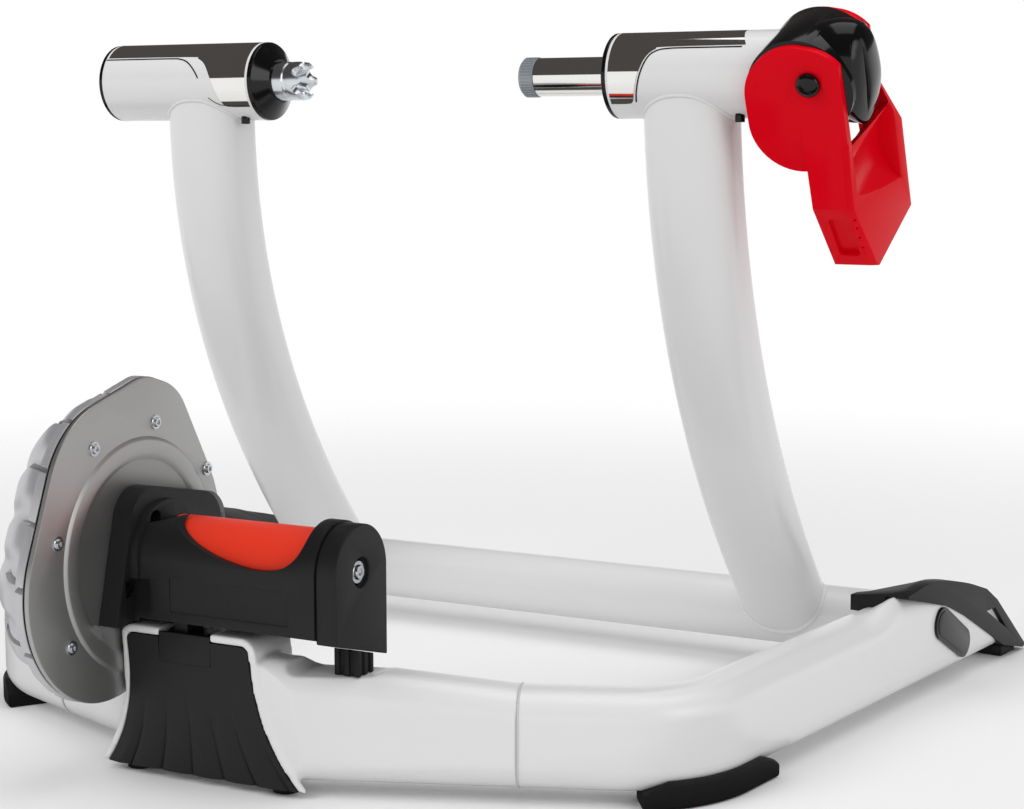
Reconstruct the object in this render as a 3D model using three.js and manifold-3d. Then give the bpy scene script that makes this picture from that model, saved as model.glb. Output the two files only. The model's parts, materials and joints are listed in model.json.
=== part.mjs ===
// Rear-wheel turbo trainer: a folding floor stand that holds a bicycle by its rear
// axle, with a fluid resistance unit whose roller is driven by the tyre.
// Millimetres, +Z up, X across the stand, +Y towards the front of the bicycle.
import * as THREE from 'three';
import { mergeVertices } from 'three/addons/utils/BufferGeometryUtils.js';
import Module from 'manifold-3d';

const wasm = await Module();
wasm.setup();

// Fits
const clearance = 0.3; // between pieces that touch
const overrun = 6; // how far a cutter runs past the face it cuts

// Counts of facets
const roundSteps = 28;
const smallSteps = 14;
const cornerSteps = 3;
const bendSteps = 6;
const armSides = 20;

// Axle clamps
const axleHeight = 403.5;
const clampTubeRadius = 26;
const clampTubeWall = 2.5;
const leftClampInset = 50; // from the arm's middle in to the end of the left clamp
const leftClampRun = 76.4; // from the arm's middle out to its other end
const rightClampInset = 49;
const rightClampRun = 63;
const endRingThickness = 3.2;
const endRingSpigot = 12;
const cupBoss = 7; // of the left ring towards the wheel, round the cup
const sleeveThickness = 0.8;
const rightSleeveLength = 88;

// Left cup and its screw
const leftCupRun = 28.4; // from the left clamp's end in to the cup's mouth
const cupRadius = 12.8;
const cupBodyLength = 46;
const cupMouthRadius = 10;
const cupMouthDepth = 11;
const cupScallopRadius = 5;
const cupScallops = 4;
const screwRadius = 8;
const screwLength = 92;
const screwSocket = 4;
const screwSocketDepth = 8;
const screwNutLength = 16;
const screwNutBack = 24; // from the back of the cup to the nut

// Right push rod
const rodRun = 63.5; // from the right clamp's end in to the rod's tip
const rodRadius = 12;
const rodTipLength = 10.5;
const rodTipProud = 0.6;
const rodKnurls = 20;
const rodMouthRadius = 9;
const rodMouthDepth = 7;
const rodCollarRadius = 16;
const rodCollarWidth = 6;
const rodNoseLength = 9;
const rodNoseRadius = 9;
const rodTravel = 12;
const rodGuideLength = 8;
const rodGuidePlace = 22; // from the inner end of the tube to the guide
const springWire = 1.4;
const springRadius = 14.9;
const springTurns = 6;

// Lever head and lever
const pinPlace = 22; // from the tube's end out to the lever's pin
const pinRadius = 4;
const headTilt = 25; // degrees about the axle line
const headSpigot = 20;
const camHigh = 21;
const camWidth = 13;
const camSwing = 105; // degrees
const camBossWall = 4;
const camSlotClearance = 1;
const cheekGap = 0.5; // between the head's side and a cheek
const cheekThickness = 5;
const lobeRadius = 31;
const ridgePlace = 19; // from the pin out to the lever's outer face
const throatRadius = 45;
const handleTopDrop = -2; // drops are from the tube's middle line
const handleShoulderDrop = 29;
const handleWideDrop = 87;
const handleEndDrop = 125.4;
const handleTopBack = -8;
const handleShoulderBack = -2.3;
const handleWideBack = 0.6;
const handleEndBack = -1.3;
const handleOuterPlace = 24.3; // from the pin out to the middle of the handle's outer face
const handleFarHalf = 38;
const handleNearHalf = 36;
const handleEndHalf = 4;
const handleEndShift = -12;
const handleTwist = 0.18;
const handleShear = 0.447;
const thumbRadius = 34; // of the hollow in the handle's outer face
const thumbDepth = 7;
const thumbDrop = 54;
const pocketWidth = 13;
const pocketLength = 34;
const pocketDepth = 4;
const pinCapRadius = 7.2;
const pinCapHeight = 4.4;

// Uprights
const armTopInset = 80; // of the arm's top from the reach of the legs
const armFootInset = 73;
const armWidth = 58;
const armDepth = 46;
const armFootDepth = 41;
const armWall = 2.2;
const armBend = 2.12; // power of the forward sweep
const armSquareness = 2.6;
const armStations = 8;
const pivotForward = 173;
const pivotHeight = 36.5;
const crossRadius = 21.8;
const crossWall = 2.5;
const bushFlange = 2.8;
const bushLength = 30;
const boltRadius = 6;
const boltHeadRadius = 10.5;
const boltHeadLength = 7;
const boltReach = 34; // how far the bolt reaches into the bush

// Floor frame
const railWidth = 39;
const railBottom = 8;
const railTop = 64;
const railCorner = 15;
const railWall = 2.5;
const railRise = 16; // of the centre over the legs
const seamReach = 152;
const yokeSweep = 21.16; // degrees
const legSplay = 8.52; // degrees
const legReach = 257; // of the leg's centre line abreast of the axle
const crossInset = 0.5; // of the cross tube's ends, inwards from that reach
const cornerForward = -144;
const cornerRadius = 65;
const joinerLength = 32;
const joinerWall = 3;
const humpStart = 55;
const humpEnd = 98;
const humpHeight = 10.5;
const notchStart = 33;
const notchEnd = 86;
const notchFloor = 69.5;

// Front end caps, as places along the leg and heights above the floor
const capRear = 98;
const capRearHeight = 74.6;
const capCrown = 138.4;
const capCrownHeight = 77;
const capBend = 224.4;
const capBendHeight = 57;
const capKnee = 243.6;
const capKneeHeight = 46;
const capTip = 297.2;
const capTipHeight = 3.4;
const capLip = 293;
const capLipHeight = 1.8;
const cutMiddle = 158.6;
const cutMiddleHeight = 58.5;
const cutLow = 205.2;
const cutLowHeight = 38;
const cutFoot = 258.7;
const cutFootHeight = 10;
const capProud = 1;
const capWall = 3.5;
const windowRear = 225.4;
const windowKnee = 240;
const windowTip = 262.3;
const windowTop = 41;
const windowBottom = 21.6;
const frontFootStart = 264;
const frontFootEnd = 289;
const frontFootHalf = 16;

// Corner pads, pivot plugs and rear feet
const padInner = 9;
const padProud = 2.2;
const padHeight = 16;
const padStartShare = 0.2;
const padRun = 32; // past the bend, along the leg
const plugWidth = 20;
const plugHeight = 34;
const plugTilt = 18; // degrees
const plugBack = 5; // of the plug's centre behind the pivot
const plugThickness = 2.6;
const plugSpigot = 5;
const plugRim = 2.4;
const rearFootRadius = 8;
const rearFootReach = 51;

// Flared rear end of the floor frame
const flareCentre = -28;
const flareSkew = 6; // of the flare's foot towards the right, from its top
const flareRear = -243;
const flareFront = -205;
const flareTop = 89;
const flareBottom = 4.5;
const flareTopHalf = 46.8;
const flareSpread = 24;
const flarePower = 2.6;
const flareCorner = 9;
const flareLean = 5;
const flareWall = 3;
const coverDepth = 24;
const coverThickness = 3.2;
const coverFolds = 6;
const coverFoldDepth = 3.4;
const coverFoldTop = 52;
const coverColumns = 24;
const unitGap = 5; // round the resistance unit where it hangs in the frame's recess

// Resistance unit
const rollerBack = -217.6;
const rollerRise = 50.4; // of the roller's axis above the hinge's
const rollerRadius = 22.25;
const rollerHalfLength = 48;
const rollerWall = 5;
const shaftRadius = 6;
const barrelRadius = 28;
const barrelBore = 24;
const barrelHalfLength = 61;
const barrelEndWall = 12;
const barrelShoulder = 148; // height of the barrel's top where it meets the flange
const undersideDrop = 50.2; // of the unit's underside below the roller, abreast of its front
const undersideSlope = 0.288;
const scoopLowest = 22; // place of the lowest point of the barrel's scooped lip
const scoopLeftHalf = 60;
const scoopRightHalf = 30;
const scoopDepth = 23;
const scoopLeftPower = 1.5;
const scoopRightPower = 2.5;
const scoopTop = 152.5;
const flangeSize = 33;
const flangeThickness = 13.4;
const bearingRadius = 13;
const bearingWidth = 9;
const bracketRadius = 27;
const bracketThickness = 13;
const bracketEdge = 2;
const screwRecessRadius = 8.5;
const screwRecessDepth = 3.2;
const stubHalf = 8;
const stubPlace = 66.5;
const stubBack = -214;
const stubRib = 1.6;
const plateFace = -75;
const plateThickness = 3;
const plateRingRadius = 69.5;
const plateRingHalf = 2.2;
const plateRingHeight = 1.1;
const gasketThickness = 0.8;
const gasketRim = 10;
const housingDepth = 43;
const housingWall = 5.5;
const finCount = 16;
const finWidth = 3;
const finDepth = 5;
const finLength = 30;
const finLean = 28; // degrees
const impellerRadius = 44;
const impellerPlate = 2.6;
const impellerHub = 11;
const impellerDepth = 15;
const vaneCount = 8;
const vaneThickness = 2.4;

// Hinge of the unit
const hingeBack = -231;
const hingeDrop = 11; // of its axis below the flare's top
const hingeCentre = -29;
const hingeHalf = 17.5;
const hingePinRadius = 4;
const lugRadius = 8;
const lugWidth = 8.2;
const knuckleWidth = 9;
const hingeBlockDrop = 18;
const hingeBlockStep = 2.4;
const apronThickness = 1.6; // of the hinge's rear wall, which fills the gap in the flare's rim
const apronDrop = 6; // of its edge below the flare's top
const shellGap = 2; // between the flare's top and the unit over it
const tiltSpringWire = 0.9;
const tiltSpringTurns = 3;

// Shapes given as shares of a named size

// The inner edge of the bright sleeve, as shares of the tube's radius for the height
// and of its length for the place along it.
const sleeveEdgeShares = [
  [0, -1.1],
  [0.14, -1.1],
  [0.19, -0.62],
  [0.24, 0],
  [0.29, 0.4],
  [0.35, 0.58],
  [0.42, 0.63],
  [1, 0.64],
];

// Circles round which the lever's cheeks are drawn, in shares of the lobe's radius.
const lobeShares = [
  [-0.29, -0.065, 1],
  [-0.29, -0.565, 1],
  [-0.13, -0.03, 0.935],
];

// Sections of the head, as shares of the tube's radius: place, top, bottom and half width.
const headShares = [
  [-0.3, 1.34, -1, 1],
  [0.05, 1.5, -1, 1],
  [0.42, 1.55, -1.03, 0.99],
  [0.78, 1.45, -1.22, 0.92],
  [1.04, 1.25, -1.02, 0.77],
  [1.21, 0.95, -0.7, 0.54],
  [1.3, 0.5, -0.23, 0.25],
];

// Circles round which the mounting flange is drawn, in shares of its own size.
const flangeShares = [
  [-0.255, 0.564, 0.606],
  [1.715, 0.17, 0.59],
  [-0.89, -1.22, 0.424],
  [1.59, -1.22, 0.424],
];

// Circles round which the plate is drawn, in shares of the embossed ring's radius.
const plateShares = [
  [0, 0, 1.115],
  [-0.48, -0.22, 0.985],
  [-0.35, 0.45, 0.86],
  [0.08, 1.1, 0.345],
];

// Sections of the flare: share of its depth and share of its spread.
const flareShares = [
  [0, 1],
  [0.1, 0.98],
  [0.34, 0.6],
  [0.64, 0.3],
  [1, 0.12],
];

// Sections of the housing: share of its depth and share of the plate's outline.
const housingShares = [
  [0, 1],
  [0.13, 1],
  [0.16, 0.955],
  [0.38, 0.945],
  [0.6, 0.87],
  [0.8, 0.76],
  [0.94, 0.64],
  [1, 0.5],
];

const degrees = Math.PI / 180;

// Places that several pieces share
const crossHalfLength = legReach - crossInset;
const armTopReach = legReach - armTopInset;
const armFootReach = legReach - armFootInset;
const leftClampInner = armTopReach - leftClampInset;
const leftClampOuter = armTopReach + leftClampRun;
const rightClampInner = armTopReach - rightClampInset;
const rightClampOuter = armTopReach + rightClampRun;
const leftCupReach = leftClampInner - leftCupRun;
const rodTipReach = rightClampInner - rodRun;
const hingeHeight = flareTop - hingeDrop;
const rollerHeight = hingeHeight + rollerRise;
const apronTop = flareTop - apronDrop;
const roller = [rollerBack, rollerHeight];
const plateBack = plateFace - plateThickness;
const gasketBack = plateBack - clearance - gasketThickness;
const housingFace = gasketBack - clearance;
const housingCentre = [rollerBack - plateRingRadius * 0.19, rollerHeight + plateRingRadius * 0.02];

// Solids

// A closed geometry with shared corners, no flat triangles and its faces outwards.
function closed(geometry) {
  const bare = geometry.index ? geometry.toNonIndexed() : geometry.clone();
  for (const name of Object.keys(bare.attributes)) {
    if (name !== 'position') bare.deleteAttribute(name);
  }
  const merged = mergeVertices(bare);
  const corners = merged.index.array;
  const kept = [];
  for (let i = 0; i < corners.length; i += 3) {
    const [a, b, c] = [corners[i], corners[i + 1], corners[i + 2]];
    if (a !== b && b !== c && c !== a) kept.push(a, b, c);
  }
  const place = merged.attributes.position;
  const point = (i) => new THREE.Vector3().fromBufferAttribute(place, i);
  let volume = 0;
  for (let i = 0; i < kept.length; i += 3) {
    volume += point(kept[i]).dot(point(kept[i + 1]).cross(point(kept[i + 2])));
  }
  if (volume < 0) kept.reverse();
  merged.setIndex(kept);
  return merged;
}

function manifoldOf(geometry) {
  const shape = closed(geometry);
  return new wasm.Manifold(
    new wasm.Mesh({
      numProp: 3,
      vertProperties: new Float32Array(shape.attributes.position.array),
      triVerts: new Uint32Array(shape.index.array),
    })
  );
}

function geometryOf(manifold) {
  const mesh = manifold.getMesh();
  const geometry = new THREE.BufferGeometry();
  const corners = new Float32Array(mesh.vertProperties);
  geometry.setAttribute('position', new THREE.BufferAttribute(corners, 3));
  geometry.setIndex(new THREE.BufferAttribute(new Uint32Array(mesh.triVerts), 1));
  return geometry;
}

function join(first, ...others) {
  const sum = others.reduce((all, next) => all.add(manifoldOf(next)), manifoldOf(first));
  return geometryOf(sum);
}

function cut(first, ...others) {
  const rest = others.reduce((all, next) => all.subtract(manifoldOf(next)), manifoldOf(first));
  return geometryOf(rest);
}

function overlap(first, second) {
  return geometryOf(manifoldOf(first).intersect(manifoldOf(second)));
}

function mirrored(geometry) {
  return closed(geometry.clone().scale(-1, 1, 1));
}

// Outlines are lists of [across, up] pairs.

function arc(centre, radius, from, to, steps) {
  return Array.from({ length: steps + 1 }, (_, i) => {
    const angle = from + ((to - from) * i) / steps;
    return [centre[0] + radius * Math.cos(angle), centre[1] + radius * Math.sin(angle)];
  });
}

function circle(centre, radius, steps = roundSteps) {
  return arc(centre, radius, 0, 2 * Math.PI, steps).slice(0, -1);
}

// The tight outline round several circles, each [across, up, radius].
function hullOfCircles(circles, steps) {
  return Array.from({ length: steps }, (_, i) => {
    const angle = (2 * Math.PI * i) / steps;
    const [c, s] = [Math.cos(angle), Math.sin(angle)];
    const reach = ([across, up, radius]) => across * c + up * s + radius;
    const [across, up, radius] = circles.reduce((a, b) => (reach(b) > reach(a) ? b : a));
    return [across + radius * c, up + radius * s];
  });
}

function roundedBox(half, low, high, radius, steps = cornerSteps) {
  const quarter = Math.PI / 2;
  return [
    ...arc([half - radius, low + radius], radius, -quarter, 0, steps),
    ...arc([half - radius, high - radius], radius, 0, quarter, steps),
    ...arc([radius - half, high - radius], radius, quarter, 2 * quarter, steps),
    ...arc([radius - half, low + radius], radius, 2 * quarter, 3 * quarter, steps),
  ];
}

// Extrusions of an outline, along X from an outline in Y and Z, and so on.

function extruded(outline, length, options = {}) {
  const shape = new THREE.Shape(outline.map(([a, b]) => new THREE.Vector2(a, b)));
  return new THREE.ExtrudeGeometry(shape, { depth: length, bevelEnabled: false, ...options });
}

function placed(geometry, acrossAxis, upAxis, origin) {
  const outAxis = new THREE.Vector3().crossVectors(acrossAxis, upAxis);
  const frame = new THREE.Matrix4().makeBasis(acrossAxis, upAxis, outAxis);
  return geometry.applyMatrix4(frame.setPosition(origin));
}

const axisX = new THREE.Vector3(1, 0, 0);
const axisY = new THREE.Vector3(0, 1, 0);
const axisZ = new THREE.Vector3(0, 0, 1);

function alongX(outline, from, to, options) {
  const origin = new THREE.Vector3(from, 0, 0);
  return placed(extruded(outline, to - from, options), axisY, axisZ, origin);
}

function alongY(outline, from, to) {
  const origin = new THREE.Vector3(0, to, 0);
  return placed(extruded(outline, to - from), axisX, axisZ, origin);
}

function alongZ(outline, from, to) {
  return extruded(outline, to - from).translate(0, 0, from);
}

function box(x0, x1, y0, y1, z0, z1) {
  const size = new THREE.BoxGeometry(x1 - x0, y1 - y0, z1 - z0);
  return size.translate((x0 + x1) / 2, (y0 + y1) / 2, (z0 + z1) / 2);
}

// A turned piece about the X axis; the profile is a list of [place, radius] pairs.
function turned(profile, steps = roundSteps) {
  const points = profile.map(([place, radius]) => new THREE.Vector2(radius, place));
  return new THREE.LatheGeometry(points, steps).rotateZ(-Math.PI / 2);
}

function rod(from, to, radius, steps = roundSteps) {
  return turned([[from, 0], [from, radius], [to, radius], [to, 0]], steps);
}

function ring(from, to, bore, radius, steps = roundSteps) {
  const corner = [from, bore];
  return turned([corner, [from, radius], [to, radius], [to, bore], corner], steps);
}

// A skin through rings of equal count, closed by a flat face at each end.
function loft(rings) {
  const count = rings[0].length;
  const faces = [];
  for (let i = 0; i + 1 < rings.length; i++) {
    for (let j = 0; j < count; j++) {
      const a = i * count + j;
      const b = i * count + ((j + 1) % count);
      faces.push(a, b, b + count, a, b + count, a + count);
    }
  }
  const last = (rings.length - 1) * count;
  for (const [a, b, c] of capFaces(rings[0])) faces.push(a, c, b);
  for (const [a, b, c] of capFaces(rings[rings.length - 1])) {
    faces.push(last + a, last + b, last + c);
  }
  const geometry = new THREE.BufferGeometry().setFromPoints(rings.flat());
  geometry.setIndex(faces);
  return closed(geometry);
}

// Triangles over one ring, in the ring's own order of turning.
function capFaces(ring) {
  const normal = new THREE.Vector3();
  ring.forEach((point, i) => {
    normal.add(new THREE.Vector3().crossVectors(point, ring[(i + 1) % ring.length]));
  });
  normal.normalize();
  const across = new THREE.Vector3().subVectors(ring[1], ring[0]).normalize();
  const up = new THREE.Vector3().crossVectors(normal, across);
  const flat = ring.map((point) => new THREE.Vector2(point.dot(across), point.dot(up)));
  return THREE.ShapeUtils.triangulateShape(flat, []);
}

// A coil spring about the X axis.
function coil(from, to, radius, wire, turns) {
  const stepsInTurn = 9;
  const sides = 5;
  const steps = turns * stepsInTurn;
  const rings = [];
  for (let i = 0; i <= steps; i++) {
    const angle = (2 * Math.PI * i) / stepsInTurn;
    const place = from + wire + ((to - from - 2 * wire) * i) / steps;
    rings.push(
      circle([place, radius], wire, sides).map(
        ([x, r]) => new THREE.Vector3(x, r * Math.cos(angle), r * Math.sin(angle))
      )
    );
  }
  return loft(rings);
}

// Finishes

function finish(colour, roughness, metalness) {
  return new THREE.MeshStandardMaterial({ color: colour, roughness, metalness, flatShading: true });
}

const whitePaint = finish(0xf2f2f2, 0.3, 0);
const chrome = finish(0xd8d8dc, 0.08, 1);
const zinc = finish(0xb9bec4, 0.35, 1);
const steel = finish(0x9a9da2, 0.4, 1);
const darkPlastic = finish(0x1d1e20, 0.6, 0);
const glossBlack = finish(0x0a0b0c, 0.15, 0);
const rubber = finish(0x141414, 0.85, 0);
const redPlastic = finish(0xc80d18, 0.25, 0);
const redElastomer = finish(0xc4261c, 0.5, 0);
const satinPlate = finish(0x8f9092, 0.45, 0.9);
const castAlloy = finish(0xa3a3ae, 0.5, 0.6);
const greyTip = finish(0x8d9399, 0.6, 0.3);

const trainer = new THREE.Group();

function add(name, geometry, material, parent = trainer) {
  const shape = closed(geometry);
  shape.computeVertexNormals();
  const mesh = new THREE.Mesh(shape, material);
  mesh.name = name;
  parent.add(mesh);
  return mesh;
}

// The same piece on both sides of the stand.
function addPair(name, geometry, material, parent = trainer) {
  add(`${name}_right`, geometry, material, parent);
  add(`${name}_left`, mirrored(geometry), material, parent);
}

// Floor frame

const sweepSlope = Math.tan(yokeSweep * degrees);
const legAlong = new THREE.Vector2(Math.sin(legSplay * degrees), Math.cos(legSplay * degrees));
const legAcross = new THREE.Vector2(legAlong.y, -legAlong.x);
const cornerReach = legReach + (cornerForward * legAlong.x) / legAlong.y;

function yokeForward(reach) {
  return cornerForward + (Math.abs(reach) - cornerReach) * sweepSlope;
}

// A ring of the rail: a rounded box set square to the rail at one of its stations.
function railRing(station, grow) {
  const half = railWidth / 2 + grow;
  const outline = roundedBox(half, railBottom - grow, railTop + grow, railCorner + grow);
  const middle = (railBottom + railTop) / 2;
  return outline.map(([u, z]) => {
    const upper = Math.max(0, (z - middle) / (railTop - middle));
    const outer = THREE.MathUtils.clamp(u / half / 0.6 + 0.15, 0, 1);
    const lift = upper * (station.rise + outer * station.hump);
    const across = station.across;
    return new THREE.Vector3(station.x + across.x * u, station.y + across.y * u, z + lift);
  });
}

function yokeStation(reach) {
  const side = Math.sign(reach);
  const across = side
    ? new THREE.Vector2(side * Math.sin(yokeSweep * degrees), -Math.cos(yokeSweep * degrees))
    : new THREE.Vector2(0, -1 / Math.cos(yokeSweep * degrees));
  const rise = railRise * Math.max(0, 1 - Math.abs(reach) / seamReach);
  return { x: reach, y: yokeForward(reach), across, rise, hump: 0 };
}

function legStation(place, hump = 0, shift = 0) {
  const x = legReach + legAlong.x * place + legAcross.x * shift;
  const y = legAlong.y * place + legAcross.y * shift;
  return { x, y, across: legAcross, rise: 0, hump };
}

// Stations round the bend between the yoke and the right leg.
function bendStations(fromShare, toShare, steps) {
  const turn = (90 - legSplay - yokeSweep) * degrees;
  const reach = cornerRadius * Math.tan(turn / 2);
  const start = new THREE.Vector2(
    cornerReach - reach * Math.cos(yokeSweep * degrees),
    cornerForward - reach * Math.sin(yokeSweep * degrees)
  );
  const heading = yokeSweep * degrees;
  const centre = new THREE.Vector2(
    start.x - cornerRadius * Math.sin(heading),
    start.y + cornerRadius * Math.cos(heading)
  );
  return Array.from({ length: steps + 1 }, (_, i) => {
    const angle = heading + turn * (fromShare + ((toShare - fromShare) * i) / steps);
    const across = new THREE.Vector2(Math.sin(angle), -Math.cos(angle));
    const x = centre.x + across.x * cornerRadius;
    const y = centre.y + across.y * cornerRadius;
    return { x, y, across, rise: 0, hump: 0 };
  });
}

function railLoft(stations, grow) {
  return loft(stations.map((station) => railRing(station, grow)));
}

function legStations(seam) {
  const humps = [0, 0.25, 0.75, 1].map((share, i, all) => {
    const place = humpStart + ((humpEnd - humpStart) * i) / (all.length - 1);
    return legStation(place, humpHeight * share);
  });
  return [
    yokeStation(seam),
    ...bendStations(0, 1, bendSteps),
    ...humps,
    legStation(cutFoot + overrun, humpHeight),
  ];
}

// Extrudes an outline in place along the leg and height across the right leg.
function acrossLeg(outline, from, to) {
  const along = new THREE.Vector3(legAlong.x, legAlong.y, 0);
  const origin = new THREE.Vector3(legReach + legAcross.x * from, legAcross.y * from, 0);
  return placed(extruded(outline, to - from), along, axisZ, origin);
}

// What is cut off the leg's slanted front end.
function frontCut(lift) {
  const reach = railWidth;
  const far = capTip + overrun;
  return acrossLeg(
    [
      [humpEnd, capRearHeight - 0.5 * capProud + lift],
      [cutMiddle + lift, cutMiddleHeight + lift],
      [cutLow + lift, cutLowHeight + lift],
      [cutFoot + lift, cutFootHeight + lift],
      [cutFoot + railBottom + lift, -overrun],
      [far, -overrun],
      [far, capCrownHeight + overrun],
      [humpEnd, capCrownHeight + overrun],
    ],
    -reach,
    reach
  );
}

function pivotCutter(from, to, radius) {
  return rod(from, to, radius, smallSteps).translate(0, pivotForward, pivotHeight);
}

// Place along the leg abreast of the uprights' pivot.
const pivotPlace = pivotForward / legAlong.y;
const legOuterFace = railWidth / 2;

// An oval set on the leg's outer face over the pivot.
function pivotOval(inset, from, to) {
  const half = plugWidth / 2 - inset;
  const long = plugHeight / 2 - inset;
  const oval = circle([0, 0], 1, armSides).map(([c, s]) => {
    const [a, b] = [half * c, long * s];
    const [ct, st] = [Math.cos(plugTilt * degrees), Math.sin(plugTilt * degrees)];
    return [pivotPlace - plugBack + a * ct - b * st, pivotHeight + a * st + b * ct];
  });
  return acrossLeg(oval, legOuterFace + from, legOuterFace + to);
}

function makeLeg() {
  const inside = [
    yokeStation(seamReach - overrun),
    ...bendStations(0, 1, bendSteps),
    legStation(cutFoot + 2 * overrun),
  ];
  return cut(
    railLoft(legStations(seamReach + clearance / 2), 0),
    railLoft(inside, -railWall),
    frontCut(0),
    pivotCutter(crossHalfLength, legReach + legAlong.x * pivotPlace, boltRadius + clearance),
    pivotOval(plugRim - clearance, -legOuterFace / 2, overrun)
  );
}

function flareOutline(spread, inset, low = flareBottom + inset) {
  const half = flareTopHalf - inset;
  const corner = flareCorner - inset;
  const bend = flareTop - flareCorner;
  const steps = 7;
  const flank = Array.from({ length: steps }, (_, i) => {
    const z = low + ((bend - low) * i) / steps;
    return [half + spread * ((bend - z) / (bend - flareBottom)) ** flarePower, z];
  });
  const side = [...flank, ...arc([half - corner, bend], corner, 0, Math.PI / 2, 3)];
  return [...side, ...side.map(([a, z]) => [-a, z]).reverse()];
}

function flarePoint(a, y, z) {
  return new THREE.Vector3(flareCentre + flareSkew * (1 - z / flareTop) + a, y, z);
}

function flareRing(y, spread, inset, lean, low) {
  return flareOutline(spread, inset, low).map(([a, z]) =>
    flarePoint(a, y + lean * (1 - z / flareTop), z)
  );
}

function makeYoke() {
  const shares = [-1, -0.5, 0, 0.5, 1];
  const outside = railLoft(shares.map((share) => yokeStation(share * (seamReach - clearance / 2))), 0);
  const bore = [-1, 0, 1].map((side) => ({ ...yokeStation(side * (seamReach + overrun)), rise: 0 }));
  const depth = flareFront - flareRear;
  const flare = loft(
    flareShares.map(([back, spread]) =>
      flareRing(flareRear + depth * back, flareSpread * spread, 0, flareLean * (1 - back))
    )
  );
  const coverBack = flareRear + coverThickness + 2 * clearance;
  const coverSpace = loft(
    [flareRear - overrun, coverBack].map((y) =>
      flareRing(y, flareSpread, flareWall, flareLean, -overrun)
    )
  );
  const pocket = loft([
    flareRing(coverBack - overrun / 2, flareSpread, flareWall, flareLean),
    flareRing(coverBack, flareSpread, flareWall, flareLean),
    flareRing(flareRear + coverDepth, flareSpread * 0.45, flareWall, flareLean),
  ]);
  const hingeSlot = box(
    hingeCentre - hingeHalf - clearance,
    hingeCentre + hingeHalf + clearance,
    flareRear - overrun,
    hingeBack + lugRadius + 1.5 * clearance,
    hingeHeight - lugRadius,
    flareTop + overrun
  );
  const notch = alongY(
    roundedBox((notchEnd - notchStart) / 2, notchFloor, flareTop + 2 * overrun, overrun).map(
      ([a, z]) => [a + (notchStart + notchEnd) / 2, z]
    ),
    flareRear - overrun,
    yokeForward(notchEnd) + railWidth
  );
  const leanOf = (z) => flareRear + flareWall / 2 + flareLean * (1 - z / flareTop);
  const [low, high] = [-overrun, flareTop + overrun];
  const behind = alongX(
    [
      [flareRear - railWidth, low],
      [leanOf(low), low],
      [leanOf(high), high],
      [flareRear - railWidth, high],
    ],
    flareCentre - 2 * flareTopHalf,
    flareCentre + 2 * flareTopHalf
  );
  const hollow = cut(railLoft(bore, -railWall), unitSpace(railWall));
  const shell = cut(outside, hollow, behind);
  return cut(join(shell, flare), coverSpace, pocket, hingeSlot, notch, unitSpace(0));
}

// The recess in the frame beside the flare, in which the resistance unit hangs.
function unitSpace(grow) {
  const far = housingFace - housingDepth - unitGap - grow;
  return alongX(plateOutline(-unitGap - grow), far, plateFace + plateRingHeight + 2 * clearance);
}

// A short inner sleeve that joins a leg to the yoke.
function makeJoiner() {
  const half = joinerLength / 2;
  const ends = [seamReach - half, seamReach + half].map((reach) => ({ ...yokeStation(reach), rise: 0 }));
  const past = [seamReach - half - overrun, seamReach + half + overrun];
  const bore = past.map((reach) => ({ ...yokeStation(reach), rise: 0 }));
  const outer = railLoft(ends, -railWall - clearance);
  return cut(outer, railLoft(bore, -railWall - clearance - joinerWall));
}

// The rear cover: a panel whose lower half hangs in folds that fan out with the flare.
function makeRearCover() {
  const inset = flareWall + clearance;
  const outline = flareOutline(flareSpread, inset, flareBottom);
  const side = outline.slice(0, outline.length / 2);
  const rows = side.map(([half, z]) => {
    const share = THREE.MathUtils.clamp((coverFoldTop - z) / (coverFoldTop - flareBottom), 0, 1);
    const depth = coverFoldDepth * share ** 1.4;
    const face = flareRear + flareLean * (1 - z / flareTop);
    const points = [];
    for (let column = 0; column <= coverColumns; column++) {
      const t = (2 * column) / coverColumns - 1;
      const wave = Math.abs(Math.sin((t + 0.08) * coverFolds * 0.5 * Math.PI));
      points.push(flarePoint(t * half, face - depth * wave, z));
    }
    points.push(flarePoint(half, face + coverThickness, z));
    points.push(flarePoint(-half, face + coverThickness, z));
    return points;
  });
  const hingeSlot = box(
    hingeCentre - hingeHalf - clearance,
    hingeCentre + hingeHalf + clearance,
    flareRear - overrun,
    flareRear + 2 * coverThickness + overrun,
    hingeHeight - lugRadius - clearance,
    flareTop + overrun
  );
  return cut(loft(rows), hingeSlot);
}

function makeFrontCap() {
  const half = railWidth / 2 + capProud;
  const profile = [
    [capRear + clearance, railTop - capWall],
    [cutMiddle, cutMiddleHeight - capWall],
    [cutLow, cutLowHeight - capWall],
    [cutFoot, cutFootHeight],
    [capLip, capLipHeight],
    [capTip, capTipHeight],
    [capKnee, capKneeHeight],
    [capBend, capBendHeight],
    [capCrown, capCrownHeight],
    [capRear + clearance, capRearHeight],
  ];
  const hollow = [
    [capRear + 2 * capWall, railBottom],
    [windowRear - 2 * capWall, railBottom],
    [windowRear - 2 * capWall, capBendHeight - capWall],
    [capCrown, capCrownHeight - 1.5 * capWall],
    [capRear + 2 * capWall, capRearHeight - 1.5 * capWall],
  ];
  const opening = [
    [windowRear, windowTop],
    [windowTip, windowBottom],
    [windowKnee, windowTop],
  ];
  const leg = cut(railLoft(legStations(seamReach), clearance), frontCut(clearance));
  const inner = half - capWall;
  return cut(
    acrossLeg(profile, -half, half),
    leg,
    pivotOval(-clearance, -overrun, overrun),
    acrossLeg(hollow, -inner, inner),
    acrossLeg(opening, -half - overrun, half + overrun)
  );
}

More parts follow.
